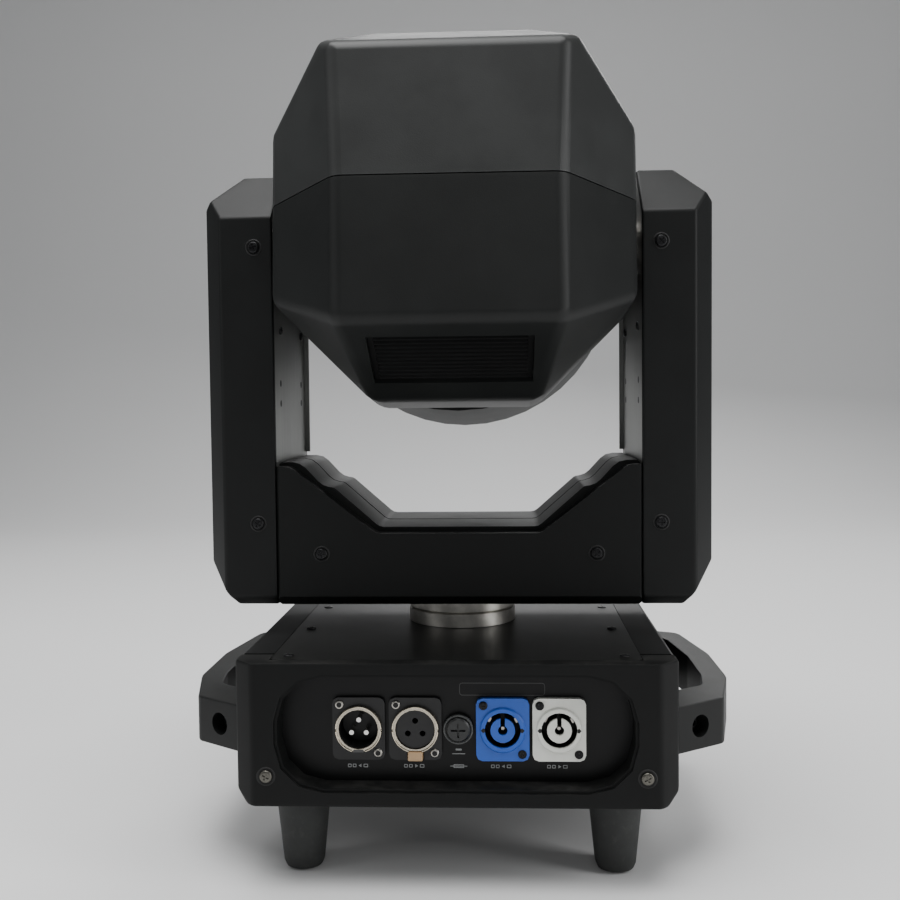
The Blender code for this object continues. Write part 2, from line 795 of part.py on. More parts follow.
def make_display():
    margin = DISPLAY_WINDOW_WIDTH / 2 + PANEL_MARGIN
    low = WINDOW_Z - DISPLAY_WINDOW_HEIGHT / 2 - PANEL_MARGIN
    high = WINDOW_Z + DISPLAY_WINDOW_HEIGHT / 2 + PANEL_MARGIN * 0.5
    outline = rectangle(2 * margin, high - low, 0.003, 0, (low + high) / 2, steps=1)
    plate = 0.002
    glass = rectangle(SCREEN_WIDTH + 2 * FIT, SCREEN_HEIGHT + 2 * FIT, 0.0015, SCREEN_X, WINDOW_Z, 1)
    places = []
    for index in range(4):
        column, row = index % 2, index // 2
        x = BUTTON_X + (column - 0.5) * BUTTON_PITCH * 1.3
        z = WINDOW_Z + (0.5 - row) * BUTTON_PITCH * 1.1
        places.append((x, z))
    holes = [circle(BUTTON_RADIUS + RUN, 16, x, z) for x, z in places]
    panel = prism("display_panel", [outline, glass] + holes, "XZ", DISPLAY_Y - plate, DISPLAY_Y)
    finish(panel, BLACK, 0.35)
    screen_outline = rectangle(SCREEN_WIDTH, SCREEN_HEIGHT, 0.0012, SCREEN_X, WINDOW_Z, 1)
    screen = prism("display_screen", [screen_outline], "XZ", DISPLAY_Y - plate, DISPLAY_Y + 0.0006)
    finish(screen, (0.02, 0.03, 0.05), 0.1)
    for number, (x, z) in enumerate(places, 1):
        profile = [
            (0, BUTTON_PROUD),
            (BUTTON_RADIUS - 0.0008, BUTTON_PROUD),
            (BUTTON_RADIUS, BUTTON_PROUD - 0.0008),
            (BUTTON_RADIUS, -plate - 0.002),
            (0, -plate - 0.002),
        ]
        button = turned(f"menu_button_{number}", profile, "+Y", (x, DISPLAY_Y, z), 16)
        finish(button, (0.03, 0.03, 0.03), 0.5)


# ---- Feet, handles and what the base holds ----


def make_feet():
    lip = FOOT_ROUND * math.sin(math.radians(45))
    profile = [
        (0, PAD_STEP - FIT),
        (FOOT_TOP, PAD_STEP - FIT),
        (FOOT_TOP, -0.004),
        (FOOT_TIP, -FOOT_HEIGHT + FOOT_ROUND),
        (FOOT_TIP - FOOT_ROUND + lip, -FOOT_HEIGHT + FOOT_ROUND - lip),
        (FOOT_TIP - FOOT_ROUND, -FOOT_HEIGHT),
        (0, -FOOT_HEIGHT),
    ]
    for end, y in (("rear", -FOOT_Y), ("front", FOOT_Y)):
        for side, x in (("left", -FOOT_X), ("right", FOOT_X)):
            foot = turned(f"foot_{end}_{side}", profile, at=(x, y, 0), segments=20)
            finish(foot, (0.03, 0.03, 0.03), 0.75)


def make_handles():
    root = HALF_WIDTH + FIT
    out = HALF_WIDTH + HANDLE_REACH
    bar = out - HANDLE_BAR
    rear, front = -HANDLE_REAR, HANDLE_FRONT
    shoulder = out - 0.010
    corners = [
        (root, rear, 0.001),
        (shoulder, rear + 0.019, 0.006),
        (out, rear + 0.062, 0.030),
        (out, front - 0.070, 0.040),
        (out - 0.009, front - 0.012, 0.008),
        (root, front, 0.001),
        (root, front - HANDLE_ROOT * 0.7, 0.001),
        (bar - 0.006, front - 0.028, 0.008),
        (bar, front - 0.076, 0.035),
        (bar, rear + 0.066, 0.028),
        (bar - 0.003, rear + 0.044, 0.009),
        (root, rear + HANDLE_ROOT, 0.001),
    ]
    outline = rounded(corners, steps=2)
    low, high = HANDLE_Z - HANDLE_HEIGHT / 2, HANDLE_Z + HANDLE_HEIGHT / 2
    face = Vector((shoulder - root, 0.019)).normalized()
    middle = Vector(((shoulder + root) / 2, rear + 0.0095))
    for side, name in ((-1, "handle_left"), (1, "handle_right")):
        drawn = outline if side > 0 else mirrored(outline)
        handle = prism(name, [drawn], "XY", low, high)
        bevel(handle, 0.0045, 2, 50)
        start = Vector((side * (middle.x - face.y * 0.009), middle.y + face.x * 0.009, HANDLE_Z))
        end = Vector((side * (middle.x + face.y * 0.020), middle.y - face.x * 0.020, HANDLE_Z))
        recess = cylinder(name + "_recess", HANDLE_RECESS, start, end, 20, cutter=True)
        finish(cut(handle, recess), CHARCOAL, 0.6)


def make_electronics():
    floor = BASE_WALL + FIT
    supply = box("power_supply", (-0.094, -0.062, floor), (-0.026, 0.070, floor + 0.034))
    bevel(supply, 0.001, 1)
    finish(supply, STEEL, 0.4, 0.9)
    board = box("control_board", (0.022, -0.050, floor + 0.004), (0.092, 0.070, floor + 0.0056))
    bm = bmesh.new()
    posts = [(0.027, -0.045), (0.087, -0.045), (0.027, 0.065), (0.087, 0.065)]
    for x, y in posts:
        add_cylinder(bm, 0.003, (x, y, floor), (x, y, floor + 0.005), 12)
    chips = [(0.040, 0.010, 0.014, 0.009), (0.070, -0.015, 0.020, 0.012), (0.060, 0.045, 0.026, 0.016)]
    for x, y, length, height in chips:
        size = Matrix.Diagonal((length, length * 0.8, height, 1.0))
        place = Matrix.Translation((x, y, floor + 0.005 + height / 2))
        bmesh.ops.create_cube(bm, size=1.0, matrix=place @ size)
    join(board, mesh_object("board_parts", bm, cutter=True))
    finish(board, (0.01, 0.10, 0.04), 0.5)


# ---- Pan drive ----


def pitch_radius(teeth):
    return teeth * BELT_PITCH / (2 * math.pi)


def pulley_outline(teeth):
    """Toothed outline, with trapezoid teeth on the pitch circle."""
    top = pitch_radius(teeth)
    points = []
    for index in range(teeth):
        for share, radius in ((-0.24, top), (0.24, top), (0.5, top - TOOTH)):
            turn = 2 * math.pi * (index + share) / teeth
            points.append(Vector((radius * math.cos(turn), radius * math.sin(turn))))
    return points


def pulley(name, teeth, bore, plane, low, at, parent):
    """A toothed pulley whose origin is on its axle."""
    made = prism(name, [pulley_outline(teeth), circle(bore, 20)], plane, low, low + PULLEY_WIDTH)
    made.parent = parent
    made.location = Vector(made.location) + Vector(at)
    return finish(made, STEEL, 0.35, 0.9)


def belt_loop(small_at, small, large_at, large, steps=14):
    """Outline around two circles, along their outer tangents, counter-clockwise."""
    small_at, large_at = Vector(small_at), Vector(large_at)
    along = small_at - large_at
    heading = math.atan2(along.y, along.x)
    half = math.acos((large - small) / along.length)
    points = []
    for index in range(steps + 1):
        turn = heading - half + 2 * half * index / steps
        points.append(small_at + small * Vector((math.cos(turn), math.sin(turn))))
    for index in range(2 * steps + 1):
        turn = heading + half + 2 * (math.pi - half) * index / (2 * steps)
        points.append(large_at + large * Vector((math.cos(turn), math.sin(turn))))
    return points


def belt(name, small_at, large_at, teeth, plane, low, parent):
    inner = (pitch_radius(DRIVE_TEETH) + FIT, pitch_radius(teeth) + FIT)
    loops = [
        belt_loop(small_at, inner[0] + BELT, large_at, inner[1] + BELT),
        belt_loop(small_at, inner[0], large_at, inner[1]),
    ]
    made = prism(name, loops, plane, low, low + BELT_WIDTH, parent=parent)
    return finish(made, BLACK, 0.8)


def motor(name, height, axis, at, parent):
    """A square stepping motor with cut corners, its shaft along the axis past its mounting face."""
    half, corner = MOTOR_SIZE / 2, MOTOR_CORNER
    facets = [((0, 0, 1), 0.0), ((0, 0, -1), height)]
    for x in (-1, 1):
        facets.append(((x, 0, 0), half))
        facets.append(((0, x, 0), half))
        facets += [((x, y, 0), 2 * half - corner) for y in (-1, 1)]
    body = faceted(name, facets, at=at, turn=AXIS_TURN[axis] if axis != "-Z" else (math.pi, 0, 0))
    body.parent = parent
    bm = bmesh.new()
    add_cylinder(bm, MOTOR_SHAFT, (0, 0, -0.003), (0, 0, 0.0115), 16)
    shaft = mesh_object(name + "_shaft", bm, at=at, turn=body.rotation_euler, cutter=True)
    shaft.parent = parent
    return finish(join(body, shaft), (0.05, 0.05, 0.05), 0.4, 0.6)


def make_pan_hub():
    collar_top = BASE_HEIGHT + FIT + HUB_COLLAR
    top = PAN_PULLEY_Z + PULLEY_WIDTH + 0.004
    profile = [
        (HUB_SLEEVE, top),
        (HUB_SLEEVE, collar_top),
        (HUB_RADIUS - 0.0006, collar_top),
        (HUB_RADIUS, collar_top - 0.0006),
        (HUB_RADIUS, BASE_HEIGHT + FIT),
        (HUB_SLEEVE, BASE_HEIGHT + FIT),
        (HUB_SLEEVE, BASE_HEIGHT - 0.018),
        (HUB_BORE, BASE_HEIGHT - 0.018),
        (HUB_BORE, top),
    ]
    finish(turned("pan_hub", profile, segments=32), STEEL, 0.3, 1.0)
    return collar_top


def make_pan_drive(pan_axis):
    collar_top = make_pan_hub()
    low = collar_top + FIT
    high = PLATE_Z - FIT
    profile = [
        (HUB_RADIUS, high),
        (HUB_RADIUS, low + 0.0006),
        (HUB_RADIUS - 0.0006, low),
        (HUB_SLEEVE + RUN, low),
        (HUB_SLEEVE + RUN, high),
    ]
    finish(turned("pan_bearing", profile, segments=32, parent=pan_axis), STEEL, 0.3, 1.0)

    low = PAN_PULLEY_Z
    pulley("pan_ring_pulley", PAN_TEETH, HUB_SLEEVE + FIT, "XY", low, (0, 0, 0), None)
    motor_at = (PAN_MOTOR_X, 0, PAN_MOTOR_Z)
    motor("pan_motor", PAN_MOTOR_HEIGHT, "-Z", motor_at, pan_axis)
    at = (PAN_MOTOR_X, 0, 0)
    pulley("pan_drive_pulley", DRIVE_TEETH, MOTOR_SHAFT + FIT, "XY", low, at, pan_axis)
    low += (PULLEY_WIDTH - BELT_WIDTH) / 2
    belt("pan_belt", (PAN_MOTOR_X, 0), (0, 0), PAN_TEETH, "XY", low, pan_axis)


# ---- Yoke ----


def arm_facets(side):
    """Facets of an arm's casing, without the open inner side."""
    facets = [
        ((side, 0, 0), ARM_OUTER),
        ((0, 0, 1), ARM_TOP),
        ((0, 0, -1), -YOKE_Z),
    ]
    corner = (ARM_OUTER, 0, ARM_TOP - ARM_CORNER)
    facets.append(facet(corner, (ARM_OUTER - ARM_CORNER, 0, ARM_TOP), (0, 1, 0)))
    heel = facet((ARM_OUTER, 0, YOKE_Z + ARM_HEEL_Z), (ARM_OUTER - ARM_HEEL_X, 0, YOKE_Z), (0, 1, 0))
    facets.append(heel)
    for end in (-1, 1):
        y = end * HALF_YOKE
        back = end * (HALF_YOKE - ARM_CHEEK_RUN)
        facets.append(((0, end, 0), HALF_YOKE))
        facets.append(facet((ARM_OUTER - ARM_CHEEK, y, 0), (ARM_OUTER, back, 0), (0, 0, 1)))
        slope_low = (0, y, ARM_TOP - ARM_SHOULDER)
        slope_high = (0, end * (HALF_YOKE - ARM_SHOULDER), ARM_TOP)
        facets.append(facet(slope_low, slope_high, (1, 0, 0)))
        facets.append(((0, end, -1), HALF_YOKE - YOKE_Z - YOKE_SKIRT))
    return [((side * abs(n[0]) if n[0] else 0, n[1], n[2]), d) for n, d in facets]


def make_arms(pan_axis):
    for side, name in ((-1, "left"), (1, "right")):
        facets = arm_facets(side)
        cover = faceted(f"arm_cover_{name}", facets + [((-side, 0, 0), -ARM_INNER)], parent=pan_axis)
        bevel(cover, 0.0015, 2, 15)
        inner = inwards(facets, YOKE_WALL) + [((-side, 0, 0), -ARM_INNER + 0.01)]
        hollow = faceted(f"arm_hollow_{name}", inner, parent=pan_axis, cutter=True)
        finish(cut(cover, hollow), CHARCOAL, 0.5)

        inner = inwards(facets, YOKE_WALL + FIT)
        inner += [((-side, 0, 0), -ARM_INNER), ((side, 0, 0), ARM_INNER + ARM_PLATE)]
        plate = faceted(f"arm_plate_{name}", inner, parent=pan_axis)
        lip_y = HALF_YOKE - YOKE_WALL - FIT
        ends = sorted((side * (ARM_INNER - ARM_LIP), side * (ARM_INNER + ARM_PLATE)))
        lip = box(
            f"arm_lip_{name}",
            (ends[0], lip_y - ARM_PLATE, ARM_LIP_LOW),
            (ends[1], lip_y, ARM_LIP_HIGH),
            parent=pan_axis,
            cutter=True,
        )
        hole = cylinder(
            f"axle_hole_{name}",
            AXLE_SHAFT + RUN,
            (side * 0.08, 0, TILT_Z),
            (side * 0.12, 0, TILT_Z),
            32,
            parent=pan_axis,
            cutter=True,
        )
        join(plate, lip)
        if side > 0:
            join(plate, *motor_ears(pan_axis))
        cut(plate, hole)
        finish(plate, GREY, 0.4, 0.7)


def motor_ears(pan_axis):
    """The two ears that are folded out of the right arm's plate to hold the tilt motor."""
    ears = []
    half = MOTOR_SIZE / 2
    for end in (-1, 1):
        near, far = sorted((end * (half + FIT), end * (half + FIT + EAR)))
        low = (ARM_INNER + ARM_PLATE / 2, near, TILT_MOTOR_Z - half * 0.8)
        high = (TILT_MOTOR_X + TILT_MOTOR_HEIGHT, far, TILT_MOTOR_Z + half * 0.8)
        ears.append(box(f"motor_ear_{end}", low, high, parent=pan_axis, cutter=True))
    return ears


def saddle_outline(length):
    """Section of the crossbar: a low flat saddle, a ledge each side and a horn at each arm."""
    right = [
        (length, YOKE_Z, 0),
        (length, SADDLE_HORN_Z, 0),
        (SADDLE_HORN, SADDLE_HORN_Z, 0.010),
        (SADDLE_LEDGE_OUT, SADDLE_LEDGE_Z + 0.001, 0.010),
        (SADDLE_LEDGE_IN, SADDLE_LEDGE_Z, 0.004),
        (SADDLE_FLAT, SADDLE_Z, 0.006),
    ]
    left = [(-x, z, radius) for x, z, radius in reversed(right)]
    return rounded(right + left, steps=2)


def face_outline(length):
    """Section of the crossbar's outer faces, a little lower than the rib between them."""
    right = [
        (length, YOKE_Z, 0),
        (length, SADDLE_FACE_HORN_Z + SADDLE_FACE_RISE, 0),
        (SADDLE_FACE_HORN, SADDLE_FACE_HORN_Z, 0.008),
        (SADDLE_FLAT + 0.001, SADDLE_FACE_Z, 0.006),
    ]
    left = [(-x, z, radius) for x, z, radius in reversed(right)]
    return rounded(right + left, steps=2)


def make_crossbar(pan_axis):
    setback = SADDLE_RIB_SETBACK
    for end, name in ((-1, "rear"), (1, "front")):
        inner_y, outer_y = sorted((end * FIT / 2, end * HALF_YOKE))
        cover = prism(
            f"crossbar_cover_{name}",
            [saddle_outline(CROSSBAR_END)],
            "XZ",
            inner_y,
            outer_y,
            parent=pan_axis,
        )
        bevel(cover, 0.0012, 1, 50)
        helper = {"parent": pan_axis, "cutter": True}

        length = CROSSBAR_END + 0.01
        above = [
            (length, 0.2, 0),
            (-length, 0.2, 0),
            (-length, SADDLE_FACE_HORN_Z + SADDLE_FACE_RISE, 0),
            (-SADDLE_FACE_HORN, SADDLE_FACE_HORN_Z, 0.008),
            (-SADDLE_FLAT - 0.001, SADDLE_FACE_Z, 0.006),
            (SADDLE_FLAT + 0.001, SADDLE_FACE_Z, 0.006),
            (SADDLE_FACE_HORN, SADDLE_FACE_HORN_Z, 0.008),
            (length, SADDLE_FACE_HORN_Z + SADDLE_FACE_RISE, 0),
        ]
        low, high = sorted((end * (HALF_YOKE - setback), end * (HALF_YOKE + 0.01)))
        step = prism(f"saddle_step_{name}", [rounded(above, 2)], "XZ", low, high, **helper)

        wall = YOKE_WALL
        wide = CROSSBAR_END + 2 * wall
        low, high = sorted((end * (HALF_YOKE - setback - wall), -end * 0.01))
        inner = prism(
            f"saddle_hollow_{name}", [inset(saddle_outline(wide), wall)], "XZ", low, high, **helper
        )
        low, high = sorted((end * (HALF_YOKE - wall), end * (HALF_YOKE - setback - wall - 0.004)))
        pocket = prism(
            f"face_hollow_{name}", [inset(face_outline(wide), wall)], "XZ", low, high, **helper
        )
        notch = cylinder(
            f"hub_notch_{name}",
            HUB_RADIUS + 0.001,
            (0, 0, YOKE_Z - 0.01),
            (0, 0, YOKE_Z + YOKE_WALL + 0.002),
            40,
            **helper,
        )
        skirt = faceted(
            f"skirt_{name}",
            [
                ((0, end, -1), 0.02 + HALF_YOKE - YOKE_Z - YOKE_SKIRT),
                ((0, -end, 1), -(HALF_YOKE - YOKE_Z - YOKE_SKIRT)),
                ((0, 0, -1), -(YOKE_Z - 0.01)),
                ((0, end, 0), HALF_YOKE + 0.01),
                ((1, 0, 0), CROSSBAR_END + 0.01),
                ((-1, 0, 0), CROSSBAR_END + 0.01),
            ],
            **helper,
        )
        cut(cover, step, inner, pocket, notch, skirt)
        finish(cover, CHARCOAL, 0.5)

    half_y = HALF_YOKE - YOKE_WALL - YOKE_SKIRT
    outline = rectangle(2 * (CROSSBAR_END - FIT), 2 * half_y, 0.002, steps=1)
    hole = circle(HUB_SLEEVE + RUN, 32)
    plate = prism("yoke_base_plate", [outline, hole], "XY", PLATE_Z, PLATE_TOP, parent=pan_axis)
    half = MOTOR_SIZE / 2
    ears = []
    for end in (-1, 1):
        near, far = sorted((end * (half + FIT), end * (half + FIT + EAR)))
        low = (PAN_MOTOR_X - half * 0.9, near, PLATE_Z + 0.001)
        high = (PAN_MOTOR_X + half * 0.8, far, PAN_MOTOR_Z + PAN_MOTOR_HEIGHT - 0.004)
        ears.append(box(f"pan_ear_{end}", low, high, parent=pan_axis, cutter=True))
    join(plate, *ears)
    finish(plate, GREY, 0.45, 0.7)


# ---- Tilt axis ----


def make_tilt_drive(pan_axis, tilt_axis):
    inner = FRAME_HALF + FIT
    gap_end = ARM_INNER - 0.0012
    step = HEAD_SIDE + 0.0018
    outer = ARM_INNER + ARM_PLATE
    for side, name, axis in ((-1, "left", "-X"), (1, "right", "+X")):
        end = TILT_PULLEY_X + PULLEY_WIDTH if side > 0 else outer + BEARING_WIDTH + 0.004
        profile = [
            (AXLE_SHAFT, end),
            (AXLE_SHAFT, gap_end),
            (AXLE_STEP, gap_end),
            (AXLE_STEP, step),
            (AXLE_FLANGE, step),
            (AXLE_FLANGE, inner),
            (AXLE_BORE, inner),
            (AXLE_BORE, end),
        ]
        axle = turned(f"tilt_axle_{name}", profile, axis, segments=24, parent=tilt_axis)
        finish(axle, STEEL, 0.25, 1.0)
        low = outer + FIT
        profile = [
            (BEARING, low + BEARING_WIDTH),
            (BEARING, low),
            (AXLE_SHAFT + RUN, low),
            (AXLE_SHAFT + RUN, low + BEARING_WIDTH),
        ]
        ring = turned(f"tilt_bearing_{name}", profile, axis, (0, 0, TILT_Z), 24, pan_axis)
        finish(ring, STEEL, 0.3, 1.0)

    low = TILT_PULLEY_X
    bore = AXLE_SHAFT + FIT
    driven = pulley("tilt_driven_pulley", TILT_TEETH, bore, "YZ", low, (0, 0, 0), tilt_axis)
    driven.rotation_euler = ACROSS["YZ"]
    at = (0, 0, TILT_MOTOR_Z)
    pulley("tilt_drive_pulley", DRIVE_TEETH, MOTOR_SHAFT + FIT, "YZ", low, at, pan_axis)
    motor_at = (TILT_MOTOR_X, 0, TILT_MOTOR_Z)
    motor("tilt_motor", TILT_MOTOR_HEIGHT, "-X", motor_at, pan_axis)
    low += (PULLEY_WIDTH - BELT_WIDTH) / 2
    belt("tilt_belt", (0, TILT_MOTOR_Z), (0, TILT_Z), TILT_TEETH, "YZ", low, pan_axis)


# ---- Head ----


def head_facets():
    """Facets of the rear covers, in the head's axes, without the flat front."""
    rear = -HEAD_REAR
    crown = math.sin(HEAD_CROWN_SLOPE), math.cos(HEAD_CROWN_SLOPE)
    chin = math.sin(HEAD_CHIN_SLOPE), math.cos(HEAD_CHIN_SLOPE)
    lean = math.sin(HEAD_REAR_LEAN), math.cos(HEAD_REAR_LEAN)
    lean_d = lean[1] * HEAD_REAR + lean[0] * (HEAD_SEAM - HEAD_LEAN_DROP)
    crown_y = (lean_d - lean[0] * HEAD_CROWN_Z) / lean[1]
    facets = [
        ((0, -1, 0), HEAD_REAR),
        ((0, -lean[1], lean[0]), lean_d),
        ((0, -crown[0], crown[1]), crown[0] * crown_y + crown[1] * HEAD_CROWN_Z),
        ((0, -chin[0], -chin[1]), chin[0] * HEAD_REAR + chin[1] * HEAD_CHIN_Z),
        ((0, 0, 1), HEAD_TOP),
        ((0, 0, -1), HEAD_TOP),
    ]
    turn = facet((HEAD_REAR_HALF, rear, 0), (HEAD_SIDE, -HEAD_SIDE_START, 0), (0, 0, 1))
    corner = HEAD_DIAGONAL * math.sqrt(2)
    chin_y = -(HEAD_REAR - (HEAD_TOP - HEAD_CHIN_Z) * chin[1] / chin[0])
    cheek = Vector((HEAD_SIDE, -HEAD_SIDE_START, HEAD_SIDE - corner))
    jaw = Vector((HEAD_REAR_HALF, rear, -HEAD_CHIN_Z))
    throat = Vector((corner - HEAD_TOP, chin_y, -HEAD_TOP))
    jowl = facet(cheek, jaw, throat - jaw)
    for side in (-1, 1):
        facets.append(((side, 0, 0), HEAD_SIDE))
        facets.append(((side * turn[0][0], turn[0][1], 0), turn[1]))
        facets.append(((side, 0, 1), corner))
        facets.append(((side, 0, -1), corner))
        facets.append(((side * jowl[0][0], jowl[0][1], jowl[0][2]), jowl[1]))
    return facets


def chin_place(along):
    """A point on the chin facet, a distance from its rear edge, and the turn of a piece laid on it."""
    y = -HEAD_REAR + along * math.cos(HEAD_CHIN_SLOPE)
    z = -HEAD_CHIN_Z - along * math.sin(HEAD_CHIN_SLOPE)
    return (0, y, z), (math.pi - HEAD_CHIN_SLOPE, 0, 0)


def make_head_covers(tilt_axis):
    facets = head_facets()
    front = -DRUM_START + FIT
    helper = {"parent": tilt_axis, "cutter": True}
    inner = inwards(facets, HEAD_WALL) + [((0, 1, 0), -front - HEAD_WALL)]
    hollow = faceted("head_hollow", inner, **helper)
    passage = cylinder("head_passage", HEAD_PASSAGE, (0, -0.05, 0), (0, 0, 0), 48, **helper)
    place, turn = chin_place(GRILLE_START + GRILLE_LENGTH / 2)
    half_x, half_y = GRILLE_WIDTH / 2 + FIT, GRILLE_LENGTH / 2 + FIT
    window = box(
        "grille_window", (-half_x, -half_y, -0.02), (half_x, half_y, 0.02), at=place, turn=turn, **helper
    )
    reach = 0.2
    lower = box("below_seam", (-reach, -reach, -reach), (reach, reach, HEAD_SEAM + FIT), **helper)
    upper = box("above_seam", (-reach, -reach, HEAD_SEAM - FIT), (reach, reach, reach), **helper)
    for name, gone in (("head_cover_upper", lower), ("head_cover_lower", upper)):
        cover = faceted(name, facets + [((0, 1, 0), -front)], parent=tilt_axis)
        bevel(cover, HEAD_ROUNDING, 3, 18)
        cut(cover, hollow, passage, gone)
        if gone is upper:
            cut(cover, window)
        finish(cover, CHARCOAL, 0.5)

    grille = box(
        "head_grille",
        (-GRILLE_WIDTH / 2, -GRILLE_LENGTH / 2, -0.0045),
        (GRILLE_WIDTH / 2, GRILLE_LENGTH / 2, -0.0045 + GRILLE),
        at=place,
        turn=turn,
        parent=tilt_axis,
    )
    bm = bmesh.new()
    pitch = (GRILLE_LENGTH - 0.002) / (GRILLE_SLATS + 1)
    for index in range(GRILLE_SLATS + 1):
        y = (index - GRILLE_SLATS / 2) * pitch
        size = Matrix.Diagonal((GRILLE_WIDTH - 0.005, pitch * 0.62, 0.02, 1.0))
        lean = Matrix.Rotation(math.radians(25), 4, "X")
        bmesh.ops.create_cube(bm, size=1.0, matrix=Matrix.Translation((0, y, -0.0045)) @ lean @ size)
    slots = mesh_object("grille_slots", bm, at=place, turn=turn, **helper)
    finish(cut(grille, slots), BLACK, 0.6)


def make_drum(tilt_axis):
    outer, inner = DRUM_RADIUS, DRUM_RADIUS - HEAD_WALL
    profile = [
        (outer, DRUM_END),
        (outer, DRUM_START + 0.001),
        (outer - 0.001, DRUM_START),
        (inner, DRUM_START),
        (inner, DRUM_END),
    ]
    drum = turned("head_drum", profile, "+Y", segments=44, parent=tilt_axis)
    bm = bmesh.new()
    add_cylinder(bm, AXLE_FLANGE + RUN, (-0.12, 0, 0), (0.12, 0, 0), 24)
    cut(drum, mesh_object("drum_axle_holes", bm, parent=tilt_axis, cutter=True))
    finish(drum, CHARCOAL, 0.5)

    spigot = inner - FIT
    end = DRUM_END + FIT
    profile = [
        (BEZEL_INNER + 0.005, BEZEL_END),
        (outer - 0.003, BEZEL_END),
        (outer, BEZEL_END - 0.003),
        (outer, end),
        (spigot, end),
        (spigot, LENS_PLATE_Y),
        (BEZEL_INNER, LENS_PLATE_Y),
        (BEZEL_INNER, DRUM_END),
    ]
    bezel = turned("front_bezel", profile, "+Y", segments=44, parent=tilt_axis)
    helper = {"parent": tilt_axis, "cutter": True}
    low, high = LENS_PLATE_Y + 0.0005, DRUM_END - 0.001
    middle = cylinder("lens_frame", BEZEL_INNER + 0.002, (0, low, 0), (0, high, 0), 44, **helper)
    bm = bmesh.new()
    for x, z in lens_places():
        add_cylinder(bm, LENS_HOLE, (x, low - 0.01, z), (x, high + 0.01, z), 12)
    join(bezel, middle)
    cut(bezel, mesh_object("lens_holes", bm, **helper))
    finish(bezel, BLACK, 0.45)


def lens_places():
    """Centres of the nineteen lenses: one, a ring of six and a ring of twelve, on a triangular grid."""
    for row in range(-2, 3):
        count = 5 - abs(row)
        for index in range(count):
            yield (index - (count - 1) / 2) * LENS_PITCH, row * LENS_PITCH * math.sqrt(3) / 2


def make_lenses(tilt_axis):
    back = LENS_PLATE_Y - FIT
    plate = 0.004
    radius = DRUM_RADIUS - HEAD_WALL - 2 * FIT
    bm = bmesh.new()
    add_cylinder(bm, radius, (0, back - plate, 0), (0, back, 0), 48)
    cluster = mesh_object("lens_cluster", bm, parent=tilt_axis)
    bm = bmesh.new()
    rim = DRUM_END + LENS_RISE
    for x, z in lens_places():
        add_cylinder(bm, LENS_RADIUS, (x, back - 0.002, z), (x, rim, z), 12, LENS_RADIUS * 0.72)
    domes = mesh_object("lens_domes", bm, parent=tilt_axis, cutter=True)
    join(cluster, domes)
    finish(cluster, (0.6, 0.65, 0.7), 0.08)


